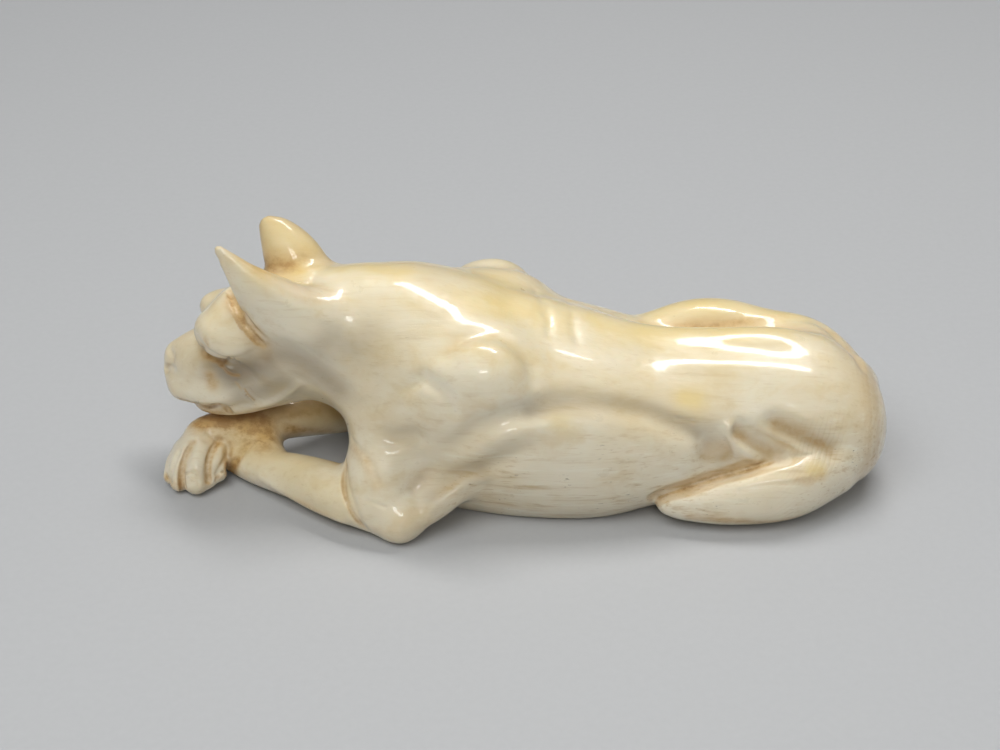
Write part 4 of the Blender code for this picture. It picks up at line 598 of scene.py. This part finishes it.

# Brown patina, with painted shade at the wrist under the chin: points in mm, width in mm, strength.
PATINA_AND_WRIST_SHADE = {
    "ear crevice": ([(-39.72, -0.47, 29.01), (-38.35, -3.34, 28.38), (-37.22, -4.77, 27.06), (-35.05, -5.51, 24.37)], 0.6, 0.55),
    "ear root": ([(-36.43, -5.05, 26.45), (-35.16, -5.49, 24.83)], 1.4, 0.5),
    "far inner corner": ([(-39.76, 6.87, 23.06), (-41.06, 5.06, 20.36), (-40.18, 4.87, 19.92), (-38.79, 4.7, 19.63)], 0.6, 0.7),
    "inner corner": ([(-43.45, -3.69, 23.07), (-43.3, -1.41, 20.34), (-42.48, -1.73, 19.9), (-41.06, -2.27, 19.67)], 0.6, 0.7),
    "muzzle stain": ([(-43.17, -2.29, 17.32), (-42.97, -2.46, 16.12)], 0.9, 0.7),
    "far lip line": ([(-46.16, 6.34, 11.98), (-44.13, 6.41, 11.96), (-42.45, 5.28, 11.27), (-39.72, 5.03, 12.47), (-39.09, 4.58, 11.85), (-38.78, 4, 10.64)], 0.4, 1.0),
    "lip line": ([(-48.46, 0.29, 11.8), (-46.63, -0.69, 11.95), (-44.57, -0.79, 11.28), (-42.32, -2.32, 12.54), (-41.3, -2, 11.9), (-40.84, -1.85, 10.88)], 0.4, 1.0),
    "lower jaw": ([(-46, 0.5, 10.62), (-43.91, -1, 10.55), (-41.76, -2.03, 11.25)], 0.9, 0.6),
    # the wrist places under the chin: their brown is partly patina and partly painted shade where the chin shades the
    # wrist
    "wrist": ([(-44.71, 0.46, 8.29), (-42.48, -0.45, 8.22), (-39.45, -1.35, 7.82), (-36.71, -2.46, 7.05)], 2.6, 0.8),
    "wrist 2": ([(-37.33, -1.49, 7.75), (-36.65, -3.35, 6.65)], 2.2, 0.7),
    "wrist shade under the chin": ([(-39.47, -1.03, 8.11), (-36.75, -1.91, 7.36)], 2.6, 1.0),
    "wrist crease": ([(-41.48, -2.67, 1.49), (-40.47, -3.58, 3.89), (-39.42, -3.16, 5.48), (-38.41, -2.79, 6.43)], 0.8, 0.8),
    "far forearm": ([(-34, 0.13, 7.31), (-31.74, 1, 6.11), (-29.08, 2.46, 4.84), (-25.8, 5.31, 2.69)], 0.8, 0.6),
    "far forearm streak": ([(-33.03, 0.93, 8.14), (-31.27, 1.72, 8.11), (-28.96, 2.77, 7.74)], 0.5, 0.35),
    "toe groove 1": ([(-46.4, -2.83, 6.46), (-47.65, -5.27, 4.41), (-48.06, -6.62, 0.89)], 0.6, 0.6),
    "toe groove 2": ([(-43.06, -1.84, 5.93), (-44.07, -4.56, 4.76), (-44.22, -6.2, 2.15)], 0.6, 0.7),
    "nails": ([(-50.29, -5.09, 2.03), (-49.24, -6.55, 1.88)], 0.6, 0.6),
    "nail 3": ([(-41.88, -2.59, 1.87), (-43.03, -5.5, 2.33)], 0.5, 0.6),
    "paw side": ([(-41.35, -2.58, 5.07), (-41.65, -3.39, 3.58)], 1.3, 0.35),
    "between the ears": ([(-34.89, -4.61, 35.8), (-34.34, 3.67, 31.15), (-31.53, 2.99, 31.53)], 1.5, 0.55),
    "far ear": ([(-34.63, 4.17, 31.65), (-31.81, 3.69, 32.38), (-29.68, 4.1, 32.31)], 1.4, 0.35),
    "thigh fold": ([(18.51, -13.1, 4.68), (22.49, -13.16, 6.58), (26.13, -12.64, 7.71), (29.9, -12.31, 8.73), (34.61, -11.74, 9.9)], 0.42, 0.55),
    "flank hollow 1": ([(25.29, -11.68, 11.85), (26.65, -11.71, 11.7)], 1.6, 0.75),
    "flank hollow 2": ([(28.31, -11.03, 14.02), (31.56, -11, 12.03), (34.66, -11.14, 10.3)], 0.9, 0.6),
    "flank hollow 3": ([(33.79, -9.9, 14.55), (37.24, -10.25, 13.15), (41.4, -10.76, 11.2)], 1.0, 0.6),
    "elbow crease": ([(-24.29, -11.14, 9.3), (-24.24, -14.07, 7.42), (-23.26, -16.46, 4.5), (-21.85, -16.59, 2.39)], 0.4, 0.5),
    "elbow streak": ([(-22.83, -11.91, 12.01), (-21.21, -14.63, 11.47), (-19.99, -16.34, 9.42)], 0.9, 0.4),
    "forearm bevel": ([(-34.65, -8.18, 1.88), (-30.8, -11.81, 2.6), (-26.75, -14.32, 2.03)], 0.8, 0.5),
    "thigh edge": ([(22.49, -15.48, 3.07), (27.9, -15.84, 2.67), (33.52, -14.89, 1.77), (37.29, -14.07, 2)], 0.8, 0.6),
    "thigh spots": ([(36.8, -14.34, 8.78), (38.47, -14.21, 8.36), (39.88, -13.61, 8.58)], 0.9, 0.4),
    "far shoulder arc": ([(-9.48, 10.76, 26.68), (-7.23, 9.38, 27.86)], 1.0, 0.2),
    "shoulder arc": ([(-9.58, -10.9, 26.98), (-7.24, -9.39, 27.89)], 1.0, 0.25),
    "valley": ([(16.32, 6.05, 20.93), (25.41, 5.49, 20.45), (31.79, 6.52, 20.97), (36.77, 7.2, 21.21)], 0.5, 0.35),
    "brow scratches": ([(-42.89, -4.63, 24.93), (-42.53, -4.98, 23.88)], 0.4, 0.4),
}

# Yellow tone of age.
HONEY = {
    "far ear": ([(-35.78, 5.88, 33.34), (-32.5, 5.5, 35.1), (-29.83, 4.79, 33.17)], 4.0, 0.5),
    "between the ears": ([(-34.95, -5.11, 36.01), (-30.4, 2.41, 31.4)], 2.5, 0.7),
    "far withers": ([(-7.3, 3.43, 30.13), (-0.62, 2.64, 28.11), (4.8, 2.15, 26.58)], 3.0, 0.4),
    "withers": ([(-7.3, -3.43, 30.14), (-0.62, -2.64, 28.11), (4.79, -2.14, 26.55)], 3.0, 0.5),
    "back": ([(10.28, -1, 25.23), (18.56, -0.33, 23.22), (26.8, -0.12, 22.93), (33.68, 0.36, 23.12)], 3.2, 0.55),
    "far haunch": ([(17.97, 9.44, 20.52), (27.66, 8.25, 22.39), (37.93, 8.58, 20.87)], 3.0, 0.6),
    "back spot": ([(21.59, -9.74, 18.5), (22.8, -9.71, 18.31)], 1.7, 0.75),
    "flank spot": ([(4.35, -14.13, 18.1), (4.88, -14.15, 17.95)], 1.5, 0.5),
    "wrist": ([(-39.86, -2.29, 6.59), (-30.88, -7.96, 7.2)], 4.0, 0.5),
    "forearm": ([(-32.16, -9.8, 5.98), (-24.89, -15.39, 5.88)], 4.0, 0.35),
    "rump spot": ([(38.75, -13.35, 9.56), (39.88, -13.2, 9.29)], 1.1, 0.7),
    "far forearm": ([(-34.01, 1.27, 8.93), (-27.6, 3.26, 7.06)], 2.5, 0.6),
    "neck top": ([(-27.61, 1.72, 31.79), (-16.68, -0.51, 32.76)], 2.0, 0.35),
}

# Painted shade: a greyish brown darkening where shade falls, under the brows, at the throat, cheeks and neck, in the
# armpits, behind the elbows, along the rib grooves and in the flank hollows.
PAINTED_SHADE = {
    "far neck": ([(-26.03, 8.73, 26.32), (-23.86, 9.12, 25.76), (-21.14, 8.99, 26.53)], 3.4, 0.32000000000000006),
    "neck": ([(-26.02, -8.48, 26.23), (-23.8, -8.61, 25.53), (-21.12, -8.7, 26.37)], 3.4, 0.4),
    "far under the brow": ([(-39.86, 4.83, 19.42), (-37.57, 4.68, 18.07), (-34.76, 5.31, 18.98), (-32.08, 6.75, 21.22)], 2.6, 0.85),
    "under the brow": ([(-42.22, -1.92, 19.37), (-40.02, -2.84, 18.01), (-36.97, -4.54, 19.76), (-34.44, -6.22, 22.44)], 2.6, 0.85),
    "far throat": ([(-31.99, 6.66, 21.89), (-29.6, 5.55, 24.37), (-24.84, 2.9, 24.89), (-21.99, -1.21, 20.71)], 2.2, 0.7),
    "throat": ([(-34.42, -6.04, 22.96), (-31.33, -7.28, 23.43), (-27.98, -8.23, 22.14), (-25.09, -9.1, 19.83)], 2.2, 0.7),
    "far cheek": ([(-36.17, 5.07, 15.99), (-33.03, 5.03, 16.11), (-30.9, 5.24, 16.85)], 2.4, 0.5),
    "cheek": ([(-38.99, -3.68, 15.94), (-35.83, -4.44, 16.76), (-33.08, -6.04, 18.79)], 2.4, 0.5),
    "flank hollow 1": ([(24.73, -11.72, 12.2), (26.65, -11.71, 11.7)], 1.9, 0.8),
    "flank hollow 2": ([(28.59, -11.1, 13.74), (31.56, -11.07, 11.91), (34.66, -11.14, 10.3)], 1.0, 0.6),
    "flank hollow 3": ([(34.21, -10.02, 14.14), (37.24, -10.3, 13.02), (41.13, -10.78, 11.21)], 1.1, 0.6),
    "far armpit": ([(-17.46, 12.91, 14.66), (-15.31, 13.36, 14.33)], 2.0, 0.24),
    "armpit": ([(-17.45, -12.88, 14.65), (-15.31, -13.33, 14.32)], 2.0, 0.3),
    "far behind elbow": ([(-12.37, 15.65, 6.48), (-9.31, 14.42, 8.5), (-5.94, 14.45, 10.28)], 1.6, 0.27999999999999997),
    "behind elbow": ([(-12.44, -15.89, 6.76), (-9.35, -14.55, 8.61), (-5.98, -14.62, 10.32)], 1.6, 0.35),
    "far rib groove": ([(0.76, 13.99, 19.18), (6.59, 11.98, 19.32), (15.36, 11.21, 18.03), (20.35, 13.32, 16.3), (24, 14.66, 14.29)], 1.3, 0.4),
    "rib groove": ([(0.66, -13.67, 19.06), (6.63, -12.21, 19.51), (15.36, -11.16, 18), (20.78, -11.57, 15.7), (24.41, -11.49, 13.36)], 1.3, 0.5),
}

def floor_cut(F, depth):
    """Ends the form flat at the resting plane, with a narrow rounding."""
    F.custom((-80, -60, -20), (80, 60, 6), lambda p, d: smax(d, -p[:, 2], 0.5))

def fine_relief(F):
    for points, width, depth in FINE_LINES.values():
        F.stroke(points, width, depth)
    for centre, radii, depth in FINE_SPOTS.values():
        F.dent(centre, radii, depth)

def tone(p, table):
    """How strongly each point lies in one of a table's tinted places, 0 to 1."""
    out = np.zeros(len(p))
    for points, width, strength in table.values():
        path = np.asarray(points, float)
        if len(path) > 2:
            path = spline(path, 5 * (len(path) - 1) + 1)
        near = np.flatnonzero((np.abs(p - (path.max(0) + path.min(0)) / 2) < (path.max(0) - path.min(0)) / 2 + 3 * width).all(1))
        if len(near):
            d = line_distance(p[near], path) if len(path) > 1 else np.linalg.norm(p[near] - path[0], axis=1)
            out[near] = np.maximum(out[near], strength * np.exp(-(d / width) ** 2))
    return out

def hollow(F, p, n, reach):
    """1 in a crevice, 0 on the flat, below 0 on an edge: how much nearer the surface is than the distance stepped out."""
    return 1.0 - F.value(p + n * reach) / reach

def refine(verts, quads, marked):
    """Splits the marked four-sided faces in four. Faces beside them gain a corner, so nothing comes apart."""
    ends = np.stack([quads, np.roll(quads, -1, axis=1)], -1).reshape(-1, 2)
    edges, which = np.unique(np.sort(ends, axis=1), axis=0, return_inverse=True)
    which = which.reshape(quads.shape)
    split = np.zeros(len(edges), bool)
    split[which[marked].ravel()] = True
    middle = np.where(split, len(verts) + np.cumsum(split) - 1, -1)
    centre = len(verts) + split.sum() + np.arange(marked.sum())
    added = np.vstack([verts[edges[split]].mean(1), verts[quads[marked]].mean(1)])
    q, m = quads[marked], middle[which[marked]]
    small = [np.stack([q[:, i], m[:, i], centre, m[:, i - 1]], 1) for i in range(4)]
    touched = (middle[which] >= 0).any(1) & ~marked
    plain = np.vstack([quads[~marked & ~touched]] + small)
    beside = [[v for c, e in zip(corners, mids) for v in ((c, e) if e >= 0 else (c,))]
              for corners, mids in zip(quads[touched].tolist(), middle[which[touched]].tolist())]
    return np.vstack([verts, added]), plain, beside, len(added)

# ---------------------------------------------------------------- the carving
def carving():
    F = build()
    fine_relief(F)
    floor_cut(F, 0.0)
    lo, d = lattice(F, (-55.0, -22.5, -1.0), (55.0, 22.5, 42.0), GRID_MM)
    verts, quads = nets(lo, GRID_MM, d)
    verts = settle(F, verts)
    close = np.full(len(verts), 9.0)
    for points, width, depth in FINE_LINES.values():
        path = np.asarray(points, float)[:, :3]
        if len(path) > 2:
            path = spline(path, 4 * (len(path) - 1) + 1)
        near = np.flatnonzero(((verts > path.min(0) - 2) & (verts < path.max(0) + 2)).all(1))
        close[near] = np.minimum(close[near], line_distance(verts[near], path) - 1.6 * width)
    verts, quads, beside, count = refine(verts, quads, (close[quads] < 0.35).any(1))
    verts[-count:] = settle(F, verts[-count:])
    n = F.slope(verts)
    n /= np.maximum(np.linalg.norm(n, axis=1), 1e-6)[:, None]
    me = bpy.data.meshes.new("bone_dog")
    me.vertices.add(len(verts))
    me.vertices.foreach_set("co", (verts * MM).astype(np.float32).ravel())
    corners = np.concatenate([quads.ravel()] + [np.array(b) for b in beside])
    sizes = np.concatenate([np.full(len(quads), 4), [len(b) for b in beside]]).astype(np.int32)
    me.loops.add(len(corners))
    me.loops.foreach_set("vertex_index", corners.astype(np.int32))
    me.polygons.add(len(sizes))
    me.polygons.foreach_set("loop_start", np.concatenate([[0], np.cumsum(sizes)[:-1]]).astype(np.int32))
    me.update(calc_edges=True)
    me.validate()
    me.polygons.foreach_set("use_smooth", np.ones(len(sizes), dtype=bool))

    near = hollow(F, verts, n, 0.7)
    mid = hollow(F, verts, n, 2.0)
    wide = hollow(F, verts, n, 4.5)
    layers = {
        "crevice": np.clip(0.75 * near + 0.6 * mid, -1, 1),
        "hollow": np.clip(0.5 * mid + 0.8 * wide, -1, 1),
        "patina_and_wrist_shade": tone(verts, PATINA_AND_WRIST_SHADE),
        "honey": tone(verts, HONEY),
        # painted shade: how strongly each point lies in a place where shade is painted into the colour
        "painted_shade": tone(verts, PAINTED_SHADE),
        # rings of growth round the rump, and lengthwise grain low on the flank
        "rings": np.sqrt(((verts[:, 0] - 24.0) / 1.0) ** 2 + ((verts[:, 2] - 16.0) * 1.12) ** 2 + (verts[:, 1] * 0.55) ** 2),
        "rump": np.clip((verts[:, 0] - 33.0) / 9.0, 0, 1) * np.clip((17.0 - verts[:, 2]) / 8.0, 0, 1),
        "belly": np.clip((17.0 - verts[:, 2]) / 7.0, 0, 1) * np.clip((verts[:, 0] + 14.0) / 8.0, 0, 1) * np.clip((34.0 - verts[:, 0]) / 12.0, 0, 1),
        "upper": np.clip(n[:, 2] * 1.1, 0, 1) * np.clip((verts[:, 2] - 14.0) / 10.0, 0, 1),
    }
    for name, values in layers.items():
        a = me.attributes.new(name, "FLOAT", "POINT")
        a.data.foreach_set("value", values.astype(np.float32))
    ob = bpy.data.objects.new("bone_dog", me)
    bpy.context.scene.collection.objects.link(ob)
    triangles = int((sizes - 2).sum())
    if triangles > MOST_TRIANGLES:
        m = ob.modifiers.new("fewer", "DECIMATE")
        m.decimate_type = "COLLAPSE"
        m.ratio = MOST_TRIANGLES / triangles
        m.use_collapse_triangulate = True
        dg = bpy.context.evaluated_depsgraph_get()
        small = bpy.data.meshes.new_from_object(ob.evaluated_get(dg))
        ob.modifiers.clear()
        ob.data = small
        bpy.data.meshes.remove(me)
        small.name = "bone_dog"
    return ob

# ---------------------------------------------------------------- the material
class Nodes:
    def __init__(self, name):
        self.mat = bpy.data.materials.new(name)
        self.mat.use_nodes = True
        self.tree = self.mat.node_tree
        self.tree.nodes.clear()

    def node(self, kind, **values):
        n = self.tree.nodes.new(kind)
        for key, v in values.items():
            setattr(n, key, v)
        return n

    def link(self, a, b):
        self.tree.links.new(a, b)

    def put(self, socket, v):
        if isinstance(v, bpy.types.NodeSocket):
            self.link(v, socket)
        else:
            socket.default_value = v

    def math(self, op, a, b=0.0, clamp=False):
        n = self.node("ShaderNodeMath", operation=op, use_clamp=clamp)
        self.put(n.inputs[0], a)
        self.put(n.inputs[1], b)
        return n.outputs[0]

    def span(self, v, a, b, c=0.0, d=1.0, smooth=True):
        n = self.node("ShaderNodeMapRange", clamp=True, interpolation_type="SMOOTHSTEP" if smooth else "LINEAR")
        for i, x in enumerate((v, a, b, c, d)):
            self.put(n.inputs[i], x)
        return n.outputs[0]

    def mix(self, t, a, b, blend="MIX"):
        n = self.node("ShaderNodeMix", data_type="RGBA", blend_type=blend)
        self.put(n.inputs["Factor"], t)
        self.put(n.inputs[6], a)
        self.put(n.inputs[7], b)
        return n.outputs[2]

    def attribute(self, name):
        return self.node("ShaderNodeAttribute", attribute_name=name, attribute_type="GEOMETRY").outputs["Fac"]

    def place(self, scale, rotation=(0, 0, 0), offset=(0, 0, 0)):
        c = self.node("ShaderNodeTexCoord").outputs["Object"]
        m = self.node("ShaderNodeMapping")
        self.link(c, m.inputs["Vector"])
        m.inputs["Scale"].default_value = scale
        m.inputs["Rotation"].default_value = rotation
        m.inputs["Location"].default_value = offset
        return m.outputs[0]

    def noise(self, vector, scale=1.0, detail=3.0, rough=0.55, distortion=0.0):
        n = self.node("ShaderNodeTexNoise")
        self.link(vector, n.inputs["Vector"])
        n.inputs["Scale"].default_value = scale
        n.inputs["Detail"].default_value = detail
        n.inputs["Roughness"].default_value = rough
        n.inputs["Distortion"].default_value = distortion
        return n.outputs["Fac"]

def rgb(r, g, b):
    """A colour from its 0 to 255 screen values."""
    f = lambda c: c / 12.92 if c <= 0.04045 else ((c + 0.055) / 1.055) ** 2.4
    return (f(r / 255), f(g / 255), f(b / 255), 1.0)

def bone_material():
    N = Nodes("polished_bone")
    crev, holl = N.attribute("crevice"), N.attribute("hollow")
    patina_and_wrist_shade, honey, painted_shade = N.attribute("patina_and_wrist_shade"), N.attribute("honey"), N.attribute("painted_shade")
    rump, belly, upper, rings = N.attribute("rump"), N.attribute("belly"), N.attribute("upper"), N.attribute("rings")

    # broad, soft mottling of cream and paler bone
    broad = N.noise(N.place((60, 85, 85)), detail=3, rough=0.5, distortion=0.4)
    patch = N.noise(N.place((170, 230, 230), offset=(3, 1, 2)), detail=4, rough=0.6, distortion=0.3)
    # lengthwise grain: long narrow streaks, bent a little by slow noise
    grain = N.noise(N.place((65, 900, 900), rotation=(0.1, 0.06, 0.03)), detail=4, rough=0.6, distortion=0.25)
    fibre = N.noise(N.place((220, 3200, 3200), rotation=(0.0, 0.05, -0.02)), detail=2, rough=0.5)

    colour = N.mix(N.span(broad, 0.32, 0.68), rgb(226, 209, 174), rgb(236, 225, 199))
    colour = N.mix(N.math("MULTIPLY", N.span(patch, 0.5, 0.72), 0.5), colour, rgb(217, 194, 150))
    # pale and dark streaks of grain, strongest low on the flank
    streak = N.math("ADD", 0.24, N.math("MULTIPLY", N.math("MAXIMUM", belly, rump), 0.5))
    colour = N.mix(N.math("MULTIPLY", N.span(grain, 0.52, 0.74), streak), colour, rgb(243, 236, 214))
    colour = N.mix(N.math("MULTIPLY", N.span(grain, 0.46, 0.28), streak), colour, rgb(196, 168, 118))
    colour = N.mix(N.math("MULTIPLY", N.span(fibre, 0.58, 0.78), N.math("MULTIPLY", streak, 0.8)), colour, rgb(196, 168, 118))
    # growth rings round the rump
    wobble = N.noise(N.place((150, 150, 150), offset=(5, 5, 5)), detail=3, rough=0.6)
    ring = N.math("SINE", N.math("ADD", N.math("MULTIPLY", rings, 9.5), N.math("MULTIPLY", wobble, 16.0)))
    ring_mask = N.math("MULTIPLY", rump, N.span(N.noise(N.place((120, 120, 120), offset=(9, 2, 7)), detail=2), 0.38, 0.6))
    colour = N.mix(N.math("MULTIPLY", N.span(ring, 0.2, 1.0), N.math("MULTIPLY", ring_mask, 0.4)), colour, rgb(196, 168, 118))
    # honey tone of age on the upper side and in spots
    honey_all = N.math("ADD", N.math("MULTIPLY", honey, 0.85), N.math("MULTIPLY", upper, N.span(patch, 0.35, 0.65, 0.08, 0.3)), clamp=True)
    colour = N.mix(honey_all, colour, rgb(233, 207, 138))
    # painted shade: greyish brown darkening in the shaded places
    colour = N.mix(N.math("MULTIPLY", painted_shade, N.span(broad, 0.3, 0.7, 0.55, 1.0)), colour, rgb(120, 98, 70))
    # patina in the named places, and a brown darkening in the broad hollows that is partly patina and partly painted
    # shade, broken up by fine noise
    breakup = N.noise(N.place((700, 900, 900), offset=(1, 4, 2)), detail=4, rough=0.65)
    deep = N.span(crev, 0.24, 0.75)
    shallow = N.span(holl, 0.25, 0.8)
    patina_and_hollow_shade = N.math("ADD", N.math("MULTIPLY", patina_and_wrist_shade, N.span(breakup, 0.25, 0.7, 0.65, 1.15)), N.math("MULTIPLY", shallow, 0.45), clamp=True)
    colour = N.mix(N.math("MULTIPLY", patina_and_hollow_shade, 0.85, clamp=True), colour, rgb(206, 166, 98))
    colour = N.mix(N.math("MULTIPLY", N.math("MULTIPLY", N.math("POWER", patina_and_hollow_shade, 2.0), N.span(breakup, 0.35, 0.65)), 0.5, clamp=True), colour, rgb(140, 94, 48))
    colour = N.mix(N.math("MULTIPLY", deep, 0.35), colour, rgb(140, 94, 48))
    # rubbed, paler edges
    colour = N.mix(N.span(crev, -0.15, -0.5, 0.0, 0.35), colour, rgb(246, 238, 216))
    # open pores: short dark dashes low on the flank and round the thigh, few elsewhere
    pores = N.noise(N.place((900, 4200, 4200), rotation=(0.0, 0.08, 0.05), offset=(2, 7, 1)), detail=2, rough=0.5)
    where = N.noise(N.place((140, 260, 260), offset=(8, 3, 6)), detail=2)
    pore_mask = N.math("MULTIPLY", N.span(pores, 0.66, 0.74), N.math("MULTIPLY", N.span(where, 0.5, 0.62), N.math("ADD", 0.12, N.math("MULTIPLY", N.math("MAXIMUM", belly, rump), 0.7))), clamp=True)
    colour = N.mix(pore_mask, colour, rgb(120, 88, 50))

    # fine scratches left by polishing, in two directions
    scratch_a = N.noise(N.place((260, 9000, 7000), rotation=(0.3, 0.2, 0.5)), detail=1, rough=0.4)
    scratch_b = N.noise(N.place((8000, 320, 6000), rotation=(0.1, 0.5, -0.4), offset=(4, 4, 4)), detail=1, rough=0.4)
    scratches = N.math("ADD", N.span(scratch_a, 0.6, 0.7), N.span(scratch_b, 0.62, 0.72), clamp=True)
    scratch_where = N.span(N.noise(N.place((110, 110, 110), offset=(2, 2, 9)), detail=2), 0.45, 0.7)
    scratches = N.math("MULTIPLY", scratches, scratch_where)

    # polish: glossier on the raised, handled parts, duller in the hollows and over pores
    gloss = N.span(N.noise(N.place((380, 420, 420), offset=(6, 1, 3)), detail=4, rough=0.6), 0.3, 0.7, 0.27, 0.4, smooth=False)
    rough = N.math("ADD", gloss, N.math("MULTIPLY", N.math("ADD", shallow, patina_and_hollow_shade), 0.14))
    rough = N.math("ADD", rough, N.math("MULTIPLY", scratches, 0.12))
    rough = N.math("ADD", rough, N.math("MULTIPLY", pore_mask, 0.3), clamp=True)

    bsdf = N.node("ShaderNodeBsdfPrincipled")
    out = N.node("ShaderNodeOutputMaterial")
    N.link(bsdf.outputs[0], out.inputs["Surface"])
    N.link(colour, bsdf.inputs["Base Color"])
    N.link(rough, bsdf.inputs["Roughness"])
    bsdf.inputs["IOR"].default_value = 1.54
    bsdf.inputs["Subsurface Weight"].default_value = 0.16
    bsdf.inputs["Subsurface Radius"].default_value = (1.0, 0.62, 0.34)
    bsdf.inputs["Subsurface Scale"].default_value = 0.0006
    bsdf.inputs["Coat Weight"].default_value = 0.65
    bsdf.inputs["Coat Roughness"].default_value = 0.07
    bsdf.inputs["Coat IOR"].default_value = 1.5

    # height in metres: hand-polished unevenness, tool facets, grain, rings, scratches and pores
    waves = N.noise(N.place((210, 260, 260), offset=(7, 7, 1)), detail=2, rough=0.5)
    tool = N.noise(N.place((520, 1500, 1500), rotation=(0.2, 0.3, 0.1), offset=(3, 9, 4)), detail=2, rough=0.5)
    height = N.math("MULTIPLY", waves, 0.00022)
    height = N.math("ADD", height, N.math("MULTIPLY", tool, 0.000035))
    height = N.math("ADD", height, N.math("MULTIPLY", N.math("MULTIPLY", grain, streak), 0.00006))
    height = N.math("ADD", height, N.math("MULTIPLY", N.math("MULTIPLY", ring, ring_mask), -0.00003))
    height = N.math("ADD", height, N.math("MULTIPLY", scratches, -0.000012))
    height = N.math("ADD", height, N.math("MULTIPLY", pore_mask, -0.00008))
    bump = N.node("ShaderNodeBump")
    bump.inputs["Strength"].default_value = 0.8
    bump.inputs["Distance"].default_value = 1.0
    N.link(height, bump.inputs["Height"])
    N.link(bump.outputs[0], bsdf.inputs["Normal"])
    return N.mat

# ---------------------------------------------------------------- floor, light, camera
def floor():
    """A plain pale sheet."""
    n = 48
    turns = [2 * math.pi * i / n for i in range(n)]
    verts = [(0.0, 0.0, 0.0)] + [(r * math.cos(a), r * math.sin(a), 0.0) for r in (0.5, 2.0, 8.0) for a in turns]
    faces = [(0, 1 + i, 1 + (i + 1) % n) for i in range(n)]
    for ring in (0, 1):
        a, b = 1 + ring * n, 1 + (ring + 1) * n
        faces += [(a + i, b + i, b + (i + 1) % n, a + (i + 1) % n) for i in range(n)]
    me = bpy.data.meshes.new("pale_floor")
    me.from_pydata(verts, [], faces)
    me.update()
    ob = bpy.data.objects.new("pale_floor", me)
    bpy.context.scene.collection.objects.link(ob)
    N = Nodes("pale_sheet")
    fine = N.noise(N.place((900, 900, 900)), detail=3)
    bsdf = N.node("ShaderNodeBsdfPrincipled")
    out = N.node("ShaderNodeOutputMaterial")
    N.link(bsdf.outputs[0], out.inputs["Surface"])
    N.link(N.mix(fine, (0.46, 0.46, 0.46, 1), (0.49, 0.49, 0.49, 1)), bsdf.inputs["Base Color"])
    bsdf.inputs["Roughness"].default_value = 0.75
    bsdf.inputs["Specular IOR Level"].default_value = 0.2
    me.materials.append(N.mat)

def softbox(name, place, aim, size, power, colour=(1, 1, 1), mirrored=True):
    light = bpy.data.lights.new(name, "AREA")
    light.shape = "RECTANGLE"
    light.size, light.size_y = size
    light.energy = power
    light.color = colour
    ob = bpy.data.objects.new(name, light)
    bpy.context.scene.collection.objects.link(ob)
    ob.visible_glossy = mirrored
    ob.location = place
    ob.rotation_euler = (Vector(aim) - Vector(place)).to_track_quat("-Z", "Y").to_euler()

def lights():
    softbox("overhead", (0.09, 0.12, 0.47), (0.0, 0.0, 0.02), (0.30, 0.075), 1.25)
    softbox("front", (-0.18, -0.28, 0.56), (-0.01, 0.0, 0.02), (0.50, 0.36), 2.3, (0.95, 0.98, 1.0), False)
    softbox("sparkle", (0.05, -0.42, 0.34), (-0.01, 0.0, 0.02), (0.12, 0.07), 0.25)
    for side, (x, y) in enumerate(((1.7, 0.0), (-1.7, 0.0), (0.0, 1.7), (0.0, -1.7))):
        softbox(f"floor_wash_{side}", (x, y, 1.2), (x, y, 0.0), (1.6, 1.6), 2.6, (1, 1, 1), False)
    world = bpy.data.worlds.new("studio")
    bpy.context.scene.world = world
    world.use_nodes = True
    bpy.context.scene.view_settings.view_transform = "Standard"
    back = world.node_tree.nodes["Background"]
    back.inputs["Color"].default_value = (0.9, 0.95, 1.0, 1)
    back.inputs["Strength"].default_value = 0.1

def camera():
    """33 degrees above the floor, square to the dog's left side, 0.26 m away."""
    look = Vector((0.0, 0.83867, -0.54464))
    up = Vector((0.0, 0.54464, 0.83867))
    side = look.cross(up)
    cam = bpy.data.cameras.new("camera")
    cam.sensor_fit = "HORIZONTAL"
    cam.sensor_width = 36.0
    cam.lens = 67.4
    cam.clip_start = 0.01
    cam.clip_end = 20.0
    ob = bpy.data.objects.new("camera", cam)
    bpy.context.scene.collection.objects.link(ob)
    turned = Matrix((side, up, -look)).transposed().to_4x4()
    ob.matrix_world = Matrix.Translation(Vector((-0.0033, -0.21805, 0.15761))) @ turned
    bpy.context.scene.camera = ob

camera()
lights()
floor()
dog = carving()
dog.data.materials.append(bone_material())
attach(dog, "root")
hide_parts(NAME)
